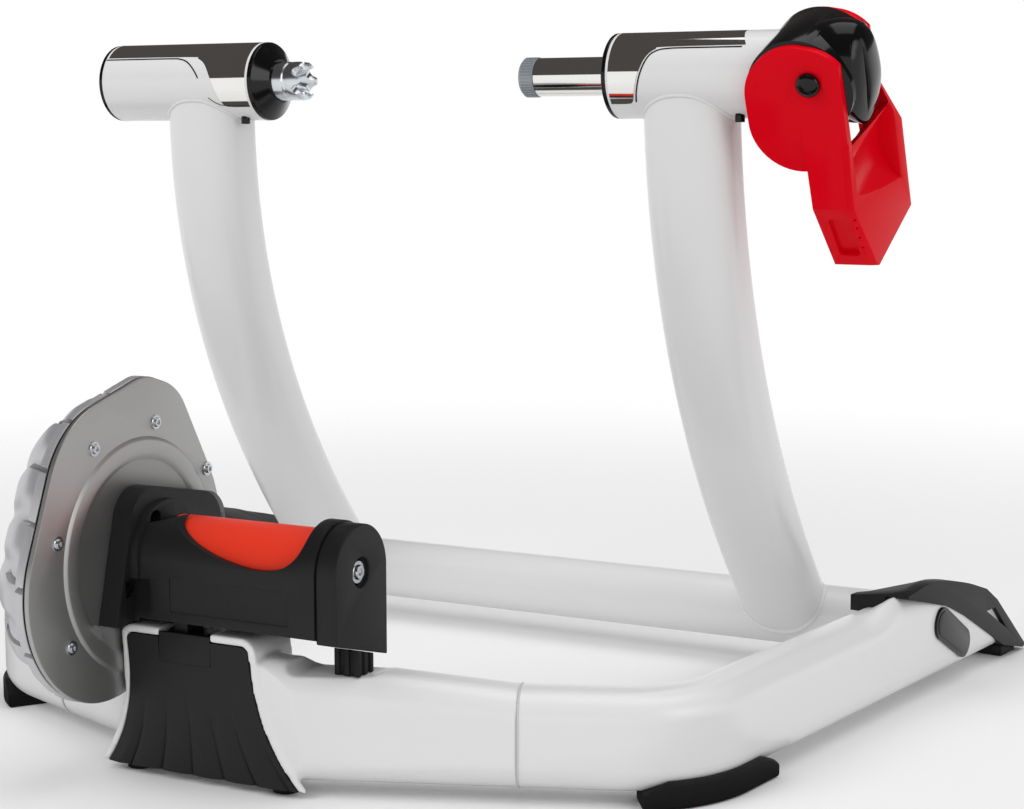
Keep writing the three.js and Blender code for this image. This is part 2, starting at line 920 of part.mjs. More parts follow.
function makeFrontFoot() {
  const underside = (place) => {
    const share = (place - cutFoot) / (capLip - cutFoot);
    return cutFootHeight + (capLipHeight - cutFootHeight) * share - clearance;
  };
  const profile = [
    [frontFootStart, 0],
    [frontFootEnd, 0],
    [frontFootEnd, underside(frontFootEnd)],
    [frontFootStart, underside(frontFootStart)],
  ];
  return acrossLeg(profile, -frontFootHalf, frontFootHalf);
}

// A pad round the outer lower bend of the rail, tapering at both ends.
function makeCornerPad() {
  const outer = railWidth / 2 + padProud;
  const bend = bendStations(padStartShare, 1, bendSteps);
  const start = cornerForward + cornerRadius * 0.6;
  const run = [0.35, 0.7, 1].map((share) => legStation(start + padRun * share));
  const stations = [...bend, ...run];
  const rings = stations.map((station, i) => {
    const end = Math.min(i, stations.length - 1 - i) / 2;
    const size = 0.45 + 0.55 * Math.min(1, end);
    const edge = padHeight * 0.18;
    const outline = [
      [-padInner * size, 0],
      [outer - edge, 0],
      [outer, edge],
      [outer, padHeight * size - edge],
      [outer - edge, padHeight * size],
      [-padInner * size, padHeight * size],
    ];
    return outline.map(([u, z]) => {
      const across = station.across;
      return new THREE.Vector3(station.x + across.x * u, station.y + across.y * u, z);
    });
  });
  const rail = railLoft([...bendStations(0, 1, bendSteps), legStation(humpStart)], clearance);
  return cut(loft(rings), rail);
}

function makePivotBolt() {
  const inner = legReach + legAlong.x * (pivotPlace + boltHeadRadius) - legOuterFace + railWall;
  const head = inner + clearance + 2 * legAlong.x * overrun;
  const bolt = turned(
    [
      [head - boltReach, 0],
      [head - boltReach, boltRadius],
      [head, boltRadius],
      [head, boltHeadRadius],
      [head + boltHeadLength, boltHeadRadius],
      [head + boltHeadLength, 0],
    ],
    smallSteps
  );
  return bolt.translate(0, pivotForward, pivotHeight);
}

function makeHingeBracket() {
  const left = hingeCentre - hingeHalf;
  const right = hingeCentre + hingeHalf;
  const foot = hingeHeight - hingeBlockDrop;
  const low = hingeHeight - lugRadius - clearance;
  const wall = flareRear + coverDepth + flareLean * (1 - low / flareTop) - clearance;
  const apronBack = flareRear + flareLean * (1 - apronTop / flareTop) + 2 * clearance;
  const profile = [
    ...arc([hingeBack, hingeHeight], lugRadius, 0, 0.75 * Math.PI, smallSteps / 2),
    [apronBack, apronTop],
    [apronBack + hingeBlockStep / 2, low + clearance],
    [hingeBack - lugRadius + hingeBlockStep, low],
    [hingeBack - lugRadius + hingeBlockStep, foot],
    [wall, foot],
    [wall, low],
    [hingeBack + lugRadius, low],
  ];
  const block = alongX(profile, left, right);
  const space = box(
    left + lugWidth,
    right - lugWidth,
    apronBack + apronThickness,
    hingeBack + lugRadius + overrun,
    hingeHeight - lugRadius - clearance,
    hingeHeight + lugRadius + overrun
  );
  const bore = rod(left - overrun, right + overrun, hingePinRadius + clearance, smallSteps);
  return cut(block, space, bore.translate(0, hingeBack, hingeHeight));
}

addPair('base_leg', makeLeg(), whitePaint);
add('base_yoke', makeYoke(), whitePaint);
addPair('frame_joiner', makeJoiner(), steel);
add('rear_cover', makeRearCover(), darkPlastic);
addPair('front_cap', makeFrontCap(), darkPlastic);
addPair('front_foot', makeFrontFoot(), rubber);
addPair('corner_pad', makeCornerPad(), rubber);
addPair(
  'pivot_plug',
  join(
    pivotOval(0, clearance, plugThickness),
    pivotOval(plugRim, -plugSpigot, plugThickness / 2)
  ),
  glossBlack
);
addPair('pivot_bolt', makePivotBolt(), zinc);
for (const [side, reach] of [['left', -rearFootReach], ['right', rearFootReach]]) {
  const middle = flareRear + flareLean + rearFootRadius + flareWall;
  const foot = circle([flareCentre + flareSkew + reach, middle], rearFootRadius, smallSteps);
  add(`rear_foot_${side}`, alongZ(foot, 0, flareBottom - clearance), rubber);
}
add('hinge_bracket', makeHingeBracket(), darkPlastic);
add(
  'hinge_pin',
  rod(hingeCentre - hingeHalf, hingeCentre + hingeHalf, hingePinRadius, smallSteps).translate(
    0,
    hingeBack,
    hingeHeight
  ),
  steel
);
const knuckleStart = hingeCentre - knuckleWidth;
add(
  'tilt_spring',
  coil(
    knuckleStart + knuckleWidth + clearance,
    hingeCentre + hingeHalf - lugWidth - clearance,
    hingePinRadius + clearance + tiltSpringWire,
    tiltSpringWire,
    tiltSpringTurns
  ).translate(0, hingeBack, hingeHeight),
  steel
);

// Uprights

function armCentre(share) {
  const x = armTopReach + (armFootReach - armTopReach) * share;
  const y = pivotForward * share ** armBend;
  return new THREE.Vector3(x, y, axleHeight + (pivotHeight - axleHeight) * share);
}

function armRing(share, inset) {
  const step = 0.01;
  const low = Math.max(0, share - step);
  const along = armCentre(low + 2 * step).sub(armCentre(low));
  const across = axisX;
  const out = new THREE.Vector3().crossVectors(along, across).normalize();
  const half = armWidth / 2 - inset;
  const deep = (armDepth + (armFootDepth - armDepth) * share) / 2 - inset;
  const power = 2 / armSquareness;
  return circle([0, 0], 1, armSides).map(([c, s]) => {
    const u = half * Math.sign(c) * Math.abs(c) ** power;
    const v = deep * Math.sign(s) * Math.abs(s) ** power;
    return armCentre(share).addScaledVector(across, u).addScaledVector(out, v);
  });
}

function armLoft(inset, from, to) {
  const rings = Array.from({ length: armStations + 1 }, (_, i) =>
    armRing(from + ((to - from) * i) / armStations, inset)
  );
  return loft(rings);
}

function crossRod(radius) {
  return rod(-crossHalfLength, crossHalfLength, radius).translate(0, pivotForward, pivotHeight);
}

function clampRod(from, to, radius) {
  return rod(from, to, radius).translate(0, 0, axleHeight);
}

function makeArm() {
  return cut(
    armLoft(0, 0, 0.985),
    armLoft(armWall, 0, 0.985),
    clampRod(0, rightClampOuter + overrun, clampTubeRadius + clearance),
    crossRod(crossRadius + clearance)
  );
}

function sleeveRegion(inner, length, grow) {
  const edge = sleeveEdgeShares.map(([place, height]) => [
    inner + length * place + (place ? grow : -grow),
    axleHeight + clampTubeRadius * height - grow,
  ]);
  const top = axleHeight + clampTubeRadius + overrun;
  return alongY(
    [...edge, [inner + length + grow, top], [inner - grow, top]],
    -clampTubeRadius - overrun,
    clampTubeRadius + overrun
  );
}

function makeSleeve(inner, length) {
  const shell = ring(inner, inner + length, clampTubeRadius - sleeveThickness, clampTubeRadius);
  return overlap(shell.translate(0, 0, axleHeight), sleeveRegion(inner, length, 0));
}

function makeClampTube(inner, outer, length) {
  const tube = ring(inner, outer, clampTubeRadius - clampTubeWall, clampTubeRadius);
  const depth = sleeveThickness + clearance;
  const skin = ring(inner - overrun, outer + overrun, clampTubeRadius - depth, clampTubeRadius + 1);
  const recess = overlap(skin.translate(0, 0, axleHeight), sleeveRegion(inner, length, clearance));
  return cut(tube.translate(0, 0, axleHeight), recess);
}

function makeEndRing(bore, boss = 0) {
  const seat = clampTubeRadius - clampTubeWall - clearance;
  const corner = [-boss, bore];
  const edge = endRingThickness * 0.3;
  const profile = [
    corner,
    ...(boss ? [[-boss, bore + edge]] : []),
    [0, clampTubeRadius - edge],
    [edge, clampTubeRadius],
    [endRingThickness - clearance, clampTubeRadius],
    [endRingThickness - clearance, seat],
    [endRingThickness + endRingSpigot, seat],
    [endRingThickness + endRingSpigot, bore],
    corner,
  ];
  return turned(profile).translate(0, 0, axleHeight);
}

const rightTubeStart = rightClampInner + endRingThickness;
const leftTubeStart = leftClampInner + endRingThickness;
const leftTubeEnd = leftClampOuter - endRingThickness;

addPair('arm', makeArm(), whitePaint);
add('cross_tube', cut(crossRod(crossRadius), crossRod(crossRadius - crossWall).scale(1.1, 1, 1)), whitePaint);

const bushSeat = crossRadius - crossWall - clearance;
const bushBore = boltRadius + clearance;
addPair(
  'pivot_bush',
  turned([
    [crossHalfLength - bushLength, bushBore],
    [crossHalfLength - bushLength, bushSeat],
    [crossHalfLength + clearance, bushSeat],
    [crossHalfLength + clearance, crossRadius],
    [crossHalfLength + bushFlange, crossRadius],
    [crossHalfLength + bushFlange, bushBore],
    [crossHalfLength - bushLength, bushBore],
  ]).translate(0, pivotForward, pivotHeight),
  darkPlastic
);

add('clamp_tube_right', makeClampTube(rightTubeStart, rightClampOuter, rightSleeveLength), whitePaint);
add('bright_sleeve_right', makeSleeve(rightTubeStart, rightSleeveLength), chrome);
const leftTubeLength = leftTubeEnd - leftTubeStart;
add('clamp_tube_left', mirrored(makeClampTube(leftTubeStart, leftTubeEnd, leftTubeLength)), whitePaint);
add('bright_sleeve_left', mirrored(makeSleeve(leftTubeStart, leftTubeLength)), chrome);
add('end_ring_right', makeEndRing(rodRadius + clearance).translate(rightClampInner, 0, 0), glossBlack);
const leftRing = makeEndRing(cupRadius + clearance, cupBoss).translate(leftClampInner, 0, 0);
add('end_ring_left', mirrored(leftRing), glossBlack);
const outerRing = makeEndRing(screwRadius + 2 * clearance).scale(-1, 1, 1);
add('end_cap_left', mirrored(outerRing.translate(leftClampOuter, 0, 0)), glossBlack);

// Left cup and its screw, placed from the cup's mouth outwards along -X.

const leftCup = new THREE.Group();
leftCup.position.set(-leftCupReach, 0, axleHeight);
leftCup.rotation.y = Math.PI;
trainer.add(leftCup);

function makeCup() {
  const body = turned([
    [cupBodyLength, 0],
    [cupBodyLength, cupRadius],
    [1.5, cupRadius],
    [0, cupRadius - 1.5 * (cupRadius / 12)],
    [0, cupMouthRadius],
    [cupMouthDepth, cupMouthRadius * 0.45],
    [cupMouthDepth, 0],
  ]);
  const scallops = Array.from({ length: cupScallops }, (_, i) => {
    const cutter = new THREE.CylinderGeometry(
      cupScallopRadius,
      cupScallopRadius,
      cupRadius + overrun,
      smallSteps
    );
    cutter.translate(0, (cupRadius + overrun) / 2 + cupMouthRadius * 0.3, 0);
    return cutter.rotateX(((i + 0.5) * 2 * Math.PI) / cupScallops);
  });
  return cut(body, ...scallops);
}

const screwStart = cupBodyLength + clearance;
add('left_cup', makeCup(), zinc, leftCup);
add(
  'left_screw',
  cut(
    rod(screwStart, screwStart + screwLength, screwRadius, smallSteps),
    turned(
      [
        [screwStart + screwLength - screwSocketDepth, 0],
        [screwStart + screwLength - screwSocketDepth, screwSocket],
        [screwStart + screwLength + overrun, screwSocket],
        [screwStart + screwLength + overrun, 0],
      ],
      6
    )
  ),
  steel,
  leftCup
);
add(
  'screw_nut',
  ring(
    screwStart + screwNutBack,
    screwStart + screwNutBack + screwNutLength,
    screwRadius + clearance,
    clampTubeRadius - clampTubeWall - clearance
  ),
  zinc,
  leftCup
);

// Right push rod, its guide and its spring, placed along +X from the rod's mouth.

const pushRod = new THREE.Group();
pushRod.position.set(rodTipReach, 0, axleHeight);
trainer.add(pushRod);
const pinReach = rightClampOuter + pinPlace;
const rodEnd = pinReach - camHigh - clearance - rodTipReach;

function makeRodTip() {
  const knurl = Array.from({ length: 2 * rodKnurls }, (_, i) => {
    const angle = (Math.PI * i) / rodKnurls;
    const radius = rodRadius + rodTipProud * (i % 2);
    return [radius * Math.cos(angle), radius * Math.sin(angle)];
  });
  const mouth = turned([
    [-overrun, 0],
    [-overrun, rodMouthRadius],
    [0, rodMouthRadius],
    [rodMouthDepth, rodMouthRadius * 0.4],
    [rodMouthDepth, 0],
  ]);
  return cut(alongX(knurl, 0, rodTipLength), mouth);
}

const collarStart = rodEnd - rodNoseLength - rodCollarWidth;
const guideStart = rightClampInner + rodGuidePlace - rodTipReach;
const guideEnd = guideStart + rodGuideLength;
add('rod_tip', makeRodTip(), greyTip, pushRod);
add(
  'push_rod',
  turned([
    [rodTipLength + clearance, 0],
    [rodTipLength + clearance, rodRadius],
    [collarStart, rodRadius],
    [collarStart, rodCollarRadius],
    [collarStart + rodCollarWidth, rodCollarRadius],
    [collarStart + rodCollarWidth, rodNoseRadius],
    [rodEnd, rodNoseRadius],
    [rodEnd, 0],
  ]),
  chrome,
  pushRod
);
const tubeBore = clampTubeRadius - clampTubeWall;
add('rod_guide', ring(guideStart, guideEnd, rodRadius + clearance, tubeBore - clearance), steel, pushRod);
add(
  'rod_spring',
  coil(guideEnd + clearance, collarStart - clearance, springRadius, springWire, springTurns),
  steel,
  pushRod
);

// Lever head, cam and lever, about the pin, which lies along the group's Y axis.

// The pin stands over the tube's line by as much as the cam pushes for each radian, so
// that the cam meets the rod's nose in its middle.
const camRate = rodTravel / (camSwing * degrees);
const tubeLine = -camRate;
const leverGroup = new THREE.Group();
leverGroup.rotation.x = headTilt * degrees;
leverGroup.position.set(0, 0, camRate).applyEuler(leverGroup.rotation);
leverGroup.position.add(new THREE.Vector3(pinReach, 0, axleHeight));
trainer.add(leverGroup);

function acrossPin(outline, half) {
  return alongY(outline, -half, half);
}

function headRing(place, top, bottom, half, taper) {
  return circle([0, 0], 1, roundSteps - 2 * cornerSteps).map(([c, s]) => {
    const height = s > 0 ? top : -bottom;
    const narrow = s < 0 ? 1 - taper * s * s : 1;
    return new THREE.Vector3(place, half * c * narrow, tubeLine + height * s);
  });
}

function makeHead() {
  const r = clampTubeRadius;
  const start = headRing(-pinPlace + clearance, r, -r, r, 0);
  const rings = headShares.map(([place, top, bottom, half]) =>
    headRing(place * r, top * r, bottom * r, half * r, Math.max(0, place) * 0.45)
  );
  const inTube = (from, radius) => rod(from, 0, radius).translate(0, 0, tubeLine);
  const spigot = inTube(-pinPlace - headSpigot, tubeBore - clearance);
  const rodBore = inTube(-pinPlace - headSpigot - overrun, rodRadius + clearance);
  const collarBore = inTube(-pinPlace - headSpigot - overrun, rodCollarRadius + 2 * clearance);
  const reach = camHigh + camSlotClearance;
  const slot = acrossPin(circle([0, 0], reach), camWidth / 2 + camSlotClearance);
  const mouth = box(
    -reach,
    reach * 0.6,
    -camWidth / 2 - camSlotClearance,
    camWidth / 2 + camSlotClearance,
    tubeLine - r - 2 * overrun,
    0
  );
  const pinBore = acrossPin(circle([0, 0], pinRadius + clearance, smallSteps), r + overrun);
  return cut(join(loft([start, ...rings]), spigot), rodBore, collarBore, slot, mouth, pinBore);
}

// The cam's flank, drawn so that a flat follower moves evenly as the lever swings.
function makeCam() {
  const steps = 14;
  const flank = Array.from({ length: steps + 1 }, (_, i) => {
    const turn = (camSwing * degrees * i) / steps;
    const reach = camHigh - camRate * turn;
    const [c, s] = [-Math.cos(turn), Math.sin(turn)];
    return [reach * c - camRate * s, reach * s + camRate * c];
  });
  const half = camWidth / 2;
  const boss = acrossPin(circle([0, 0], pinRadius + camBossWall, smallSteps), half);
  const bore = acrossPin(circle([0, 0], pinRadius + clearance, smallSteps), half + overrun);
  return cut(join(acrossPin([...flank, [0, 0]], half), boss), bore);
}

const cheekInner = clampTubeRadius + cheekGap;
const cheekOuter = cheekInner + cheekThickness;

// Levels of the handle: drop, share of the twist, back, outer face, half width and shift.
function handleLevels() {
  const shoulderHalf = (cheekOuter + handleFarHalf) / 2;
  const wideHalf = (handleNearHalf + handleFarHalf) / 2;
  return [
    [handleTopDrop, 0, handleTopBack, ridgePlace, cheekOuter, 0],
    [handleShoulderDrop, 1, handleShoulderBack, handleOuterPlace, shoulderHalf, handleFarHalf - shoulderHalf],
    [handleWideDrop, 1, handleWideBack, handleOuterPlace, wideHalf, handleFarHalf - wideHalf],
    [handleEndDrop, 1, handleEndBack, handleOuterPlace - clearance, handleEndHalf, handleEndShift],
  ];
}

function handleRing([drop, share, back, outer, half, shift], inset, web) {
  const edge = cheekThickness * 0.6;
  const wide = half - inset;
  const out = outer - web;
  const open = back - (inset ? overrun : 0);
  const corners = [
    [open, -wide],
    [out - edge, -wide],
    [out, -wide + edge],
    [out, wide - edge],
    [out - edge, wide],
    [open, wide],
  ];
  return corners.map(([x, across]) => {
    const y = across + shift;
    return new THREE.Vector3(x + share * handleTwist * y, y, tubeLine - drop - handleShear * y);
  });
}

// A shallow recess in the near face of the handle's tapered end.
function makePocket([, , wideBack, , wideHalf, wideShift], [, , , outer, endHalf, endShift]) {
  const [y0, y1] = [wideShift - wideHalf, endShift - endHalf];
  const z0 = -handleWideDrop - handleShear * y0;
  const z1 = -handleEndDrop - handleShear * y1;
  const recess = new THREE.BoxGeometry(pocketWidth, 2 * pocketDepth, pocketLength);
  recess.rotateX(Math.atan2(y1 - y0, z0 - z1));
  const x = (wideBack + outer) / 2 + (handleTwist * (y0 + y1)) / 2;
  return recess.translate(x, (y0 + y1) / 2, tubeLine + (z0 + z1) / 2);
}

function makeLever() {
  const lobes = hullOfCircles(
    lobeShares.map(([a, b, r]) => [a * lobeRadius, tubeLine + b * lobeRadius, r * lobeRadius]),
    roundSteps
  );
  const cheeks = acrossPin(lobes, cheekOuter);
  const reach = 3 * lobeRadius;
  const beyond = box(ridgePlace, reach, -reach, reach, -reach, reach);
  const levels = handleLevels();
  const handle = loft(levels.map((level) => handleRing(level, 0, 0)));
  const closing = levels[2].slice();
  closing[0] = handleWideDrop - cheekThickness;
  const channel = loft(
    [levels[0], levels[1], closing].map((level) => handleRing(level, cheekThickness, cheekThickness))
  );
  const thumb = (grow) => {
    const centre = [handleOuterPlace - thumbDepth + thumbRadius, tubeLine - thumbDrop];
    return acrossPin(circle(centre, thumbRadius + grow), cheekInner + grow);
  };
  const throat = acrossPin(circle([0, 0], throatRadius), cheekInner);
  const between = box(
    -3 * lobeRadius,
    0,
    -cheekInner,
    cheekInner,
    tubeLine - handleWideDrop + cheekThickness,
    2 * lobeRadius
  );
  const pinBore = acrossPin(circle([0, 0], pinRadius + clearance, smallSteps), cheekOuter + overrun);
  return cut(
    join(cut(cheeks, beyond), handle),
    cut(channel, thumb(cheekThickness)),
    thumb(0),
    throat,
    between,
    makePocket(levels[2], levels[3]),
    pinBore
  );
}

const pinHalf = cheekOuter + clearance;

function makePinCap() {
  const steps = 4;
  const dome = arc([0, 0], 1, 0, Math.PI / 2, steps).map(([c, s]) => [
    pinHalf + clearance + pinCapHeight * (0.35 + 0.65 * s),
    pinCapRadius * c,
  ]);
  return turned([[pinHalf + clearance, 0], [pinHalf + clearance, pinCapRadius], ...dome], smallSteps);
}

add('lever_head', makeHead(), glossBlack, leverGroup);
add('cam', makeCam(), steel, leverGroup);
add('lever', makeLever(), redPlastic, leverGroup);
add('lever_pin', acrossPin(circle([0, 0], pinRadius, smallSteps), pinHalf), steel, leverGroup);
add('pin_cap_near', makePinCap().rotateZ(-Math.PI / 2), glossBlack, leverGroup);
add('pin_cap_far', makePinCap().rotateZ(Math.PI / 2), glossBlack, leverGroup);

// Resistance unit

// Height of the unit's sloping underside at a place from front to back.
function underside(y) {
  const front = rollerBack + barrelRadius;
  return rollerHeight - undersideDrop + (front - y) * undersideSlope;
}

function archOutline(radius) {
  const [back, front] = [rollerBack - radius, rollerBack + radius];
  return [
    ...arc(roller, radius, 0, Math.PI, roundSteps / 2),
    [back, underside(back)],
    [front, underside(front)],
  ];
}

function atRoller(geometry) {
  return geometry.translate(0, rollerBack, rollerHeight);
}

const barrelRight = barrelHalfLength;
const flangeFace = plateFace + clearance + flangeThickness;
const knuckle = [hingeBack, hingeHeight];

function scoopOutline() {
  const steps = 14;
  const lip = Array.from({ length: steps + 1 }, (_, i) => {
    const t = -Math.cos((Math.PI * i) / steps);
    const [half, power] = t < 0 ? [scoopLeftHalf, scoopLeftPower] : [scoopRightHalf, scoopRightPower];
    const depth = scoopDepth * (1 - Math.abs(t) ** power) ** (1 / power);
    return [scoopLowest + half * t, scoopTop - depth];
  });
  const above = rollerHeight + barrelRadius + overrun;
  return [
    [flangeFace, barrelShoulder],
    ...lip,
    [scoopLowest + scoopRightHalf, above],
    [flangeFace, above],
  ];
}

function shareCircles(shares, size) {
  return shares.map(([a, b, r]) => [rollerBack + a * size, rollerHeight + b * size, r * size]);
}

function makeCradle() {
  const barrel = alongX(archOutline(barrelRadius), flangeFace - overrun / 2, barrelRight);
  const flange = alongX(
    hullOfCircles(shareCircles(flangeShares, flangeSize), roundSteps),
    plateFace + clearance,
    flangeFace
  );
  const left = hingeCentre - knuckleWidth;
  const neck = [
    ...arc(knuckle, lugRadius - clearance, Math.PI, 2 * Math.PI, smallSteps / 2),
    [hingeBack + lugRadius - clearance, underside(hingeBack) + overrun],
    [hingeBack - lugRadius + clearance, underside(hingeBack) + overrun],
  ];
  const knuckleBody = alongX(neck, left, hingeCentre);
  const pinBore = rod(left - overrun, hingeCentre + overrun, hingePinRadius + clearance, smallSteps);
  const bore = atRoller(rod(flangeFace + barrelEndWall, barrelRight + overrun, barrelBore));
  const scoop = alongY(scoopOutline(), rollerBack - 2 * barrelRadius, rollerBack + 2 * barrelRadius);
  const seat = atRoller(
    rod(plateFace - overrun, plateFace + clearance + bearingWidth, bearingRadius + clearance)
  );
  const shaftBore = atRoller(
    rod(plateFace, flangeFace + barrelEndWall + overrun, shaftRadius + 2 * clearance, smallSteps)
  );
  const overShell = box(
    plateFace - overrun,
    flareCentre + flareTopHalf + overrun,
    rollerBack - 2 * flangeSize,
    rollerBack + 3 * flangeSize,
    0,
    flareTop + shellGap
  );
  return cut(
    join(cut(join(barrel, flange), overShell), knuckleBody),
    bore,
    scoop,
    seat,
    shaftBore,
    pinBore.translate(0, hingeBack, hingeHeight)
  );
}

const bracketStart = barrelRight + clearance;
const bracketEnd = bracketStart + bracketThickness;

function makeEndBracket() {
  const inner = archOutline(bracketRadius - bracketEdge);
  const body = alongX(inner, bracketStart + bracketEdge, bracketEnd - bracketEdge, {
    bevelEnabled: true,
    bevelSize: bracketEdge,
    bevelThickness: bracketEdge,
    bevelSegments: 2,
  });
  const seat = atRoller(rod(bracketStart - overrun, bracketStart + bearingWidth, bearingRadius + clearance));
  const recess = atRoller(rod(bracketEnd - screwRecessDepth, bracketEnd + overrun, screwRecessRadius));
  const bore = atRoller(rod(bracketStart, bracketEnd, shaftRadius + 2 * clearance, smallSteps));
  return cut(body, seat, recess, bore);
}

// The ribbed buffer under the end bracket, which rests in the notch of the yoke.
function makeStub() {
  const ribs = 5;
  const outline = [];
  for (const [dx, dy] of [[1, 0], [0, 1], [-1, 0], [0, -1]]) {
    for (let i = 0; i < ribs; i++) {
      const along = -stubHalf + (2 * stubHalf * i) / ribs;
      const out = stubHalf - (i % 2 ? stubRib : 0);
      for (const step of [0, (2 * stubHalf) / ribs]) {
        const a = along + step;
        outline.push([stubPlace + dx * out - dy * a, stubBack + dy * out + dx * a]);
      }
    }
  }
  const drop = bracketEdge / Math.cos(Math.atan(undersideSlope)) + clearance;
  const [back, front] = [stubBack - 3 * stubHalf, stubBack + 3 * stubHalf];
  const top = [
    [back, underside(back) - drop],
    [front, underside(front) - drop],
    [front, rollerHeight],
    [back, rollerHeight],
  ];
  const column = alongZ(outline, notchFloor + clearance, rollerHeight - stubHalf);
  return cut(column, alongX(top, stubPlace - 2 * stubHalf, stubPlace + 2 * stubHalf));
}

function plateOutline(inset) {
  const circles = shareCircles(plateShares, plateRingRadius);
  return hullOfCircles(circles.map(([a, b, r]) => [a, b, r - inset]), roundSteps + smallSteps / 2);
}


function makePlate() {
  const sheet = alongX(plateOutline(0), plateBack, plateFace);
  const emboss = ring(
    plateFace - plateThickness / 2,
    plateFace + plateRingHeight,
    plateRingRadius - plateRingHalf,
    plateRingRadius + plateRingHalf,
    roundSteps + smallSteps / 2
  );
  const space = alongX(
    hullOfCircles(
      shareCircles(flangeShares, flangeSize).map(([a, b, r]) => [a, b, r + clearance]),
      roundSteps
    ),
    plateFace,
    plateFace + overrun
  );
  const bore = rod(plateBack - overrun, plateFace + overrun, shaftRadius + 2 * clearance, smallSteps);
  return cut(join(sheet, cut(atRoller(emboss), space)), atRoller(bore));
}

function makeGasket() {
  const sheet = alongX(plateOutline(0), gasketBack, gasketBack + gasketThickness);
  return cut(sheet, alongX(plateOutline(gasketRim), gasketBack - overrun, plateFace));
}


function housingRing(depthShare, sizeShare, inset) {
  const [cy, cz] = housingCentre;
  const outline = plateOutline(0);
  return outline.map(([y, z]) => {
    const [dy, dz] = [y - cy, z - cz];
    const length = Math.hypot(dy, dz);
    const size = sizeShare - inset / length;
    return new THREE.Vector3(housingFace - housingDepth * depthShare, cy + dy * size, cz + dz * size);
  });
}

// One leaning slot cut into the shoulder of the housing, between two fins.
function finSlot(i) {
  const angle = (2 * Math.PI * i) / finCount;
  const reach = plateRingRadius;
  const slot = new THREE.BoxGeometry(housingDepth, finLength, finWidth);
  slot.translate(0, finLength / 2, 0);
  slot.rotateX(finLean * degrees);
  slot.translate(-housingDepth * 0.5, reach, 0);
  slot.rotateZ(-0.42);
  slot.rotateX(angle);
  return slot.translate(housingFace - housingDepth * 0.28, housingCentre[0], housingCentre[1]);
}

function makeHousing() {
  const outer = loft(housingShares.map(([depth, size]) => housingRing(depth, size, 0)));
  const inside = housingShares
    .filter((_, i) => i !== 1 && i !== 2)
    .map(([depth, size]) => {
      const end = (housingDepth - housingWall) / housingDepth;
      const place = depth ? depth * end : -overrun / housingDepth;
      return housingRing(place, Math.min(size, 0.945), depth ? housingWall : gasketRim);
    });
  const slots = Array.from({ length: finCount }, (_, i) => finSlot(i));
  const shaftBoss = atRoller(rod(housingFace - housingDepth + housingWall / 2, housingFace - housingDepth * 0.6, shaftRadius * 2, smallSteps));
  const shell = cut(outer, loft(inside));
  const socket = atRoller(
    rod(housingFace - housingDepth + housingWall, housingFace, shaftRadius + 2 * clearance, smallSteps)
  );
  return cut(join(cut(shell, ...slots), shaftBoss), socket);
}

const shaftLeft = housingFace - housingDepth * 0.75;
const shaftRight = bracketEnd - screwRecessDepth + clearance;

function makeImpeller() {
  const from = housingFace - housingDepth * 0.2;
  const disc = turned([
    [from - impellerDepth, shaftRadius + clearance],
    [from - impellerDepth, impellerHub],
    [from - impellerPlate, impellerHub],
    [from - impellerPlate, impellerRadius],
    [from, impellerRadius],
    [from, shaftRadius + clearance],
    [from - impellerDepth, shaftRadius + clearance],
  ]);
  const vanes = Array.from({ length: vaneCount }, (_, i) => {
    const length = impellerRadius - impellerHub;
    const vane = new THREE.BoxGeometry(impellerDepth * 0.8, length, vaneThickness);
    vane.translate(from - impellerDepth * 0.4, impellerHub + (length - vaneThickness) / 2, 0);
    return vane.rotateX((2 * Math.PI * i) / vaneCount);
  });
  return atRoller(join(disc, ...vanes));
}

add('roller_cradle', makeCradle(), darkPlastic);
add('end_bracket', makeEndBracket(), darkPlastic);
add('rest_buffer', makeStub(), rubber);
add('unit_plate', makePlate(), satinPlate);
add('plate_gasket', makeGasket(), rubber);
add('fluid_housing', makeHousing(), castAlloy);
add(
  'bearing_left',
  atRoller(ring(plateFace + clearance, plateFace + bearingWidth, shaftRadius + clearance, bearingRadius)),
  steel
);
add(
  'bearing_right',
  atRoller(ring(bracketStart, bracketStart + bearingWidth - clearance, shaftRadius + clearance, bearingRadius)),
  steel
);
add('roller_shaft', atRoller(rod(shaftLeft, shaftRight, shaftRadius, smallSteps)), steel);
add(
  'roller_core',
  atRoller(ring(-rollerHalfLength, rollerHalfLength, shaftRadius + clearance, rollerRadius - rollerWall - clearance)),
  castAlloy
);
add(
  'roller_sleeve',
  atRoller(ring(-rollerHalfLength, rollerHalfLength, rollerRadius - rollerWall, rollerRadius)),
  redElastomer
);
add('impeller', makeImpeller(), steel);

// The origin is on the floor, under the middle of the whole stand.
const bounds = new THREE.Box3().setFromObject(trainer, true);
const middle = bounds.getCenter(new THREE.Vector3());
trainer.position.set(-middle.x, -middle.y, -bounds.min.z);

export default trainer;
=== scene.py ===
"""Dressed model of the folding turbo trainer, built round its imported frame.

Shapes are drawn in millimetres from the same origin as the part's source, abreast
of the axle clamps, and moved into the frame's metres when a mesh is made.
"""

import json
import logging
import math
from dataclasses import dataclass
from enum import Enum
from functools import reduce
from typing import Sequence

import bmesh
import bpy
from mathutils import Matrix, Vector

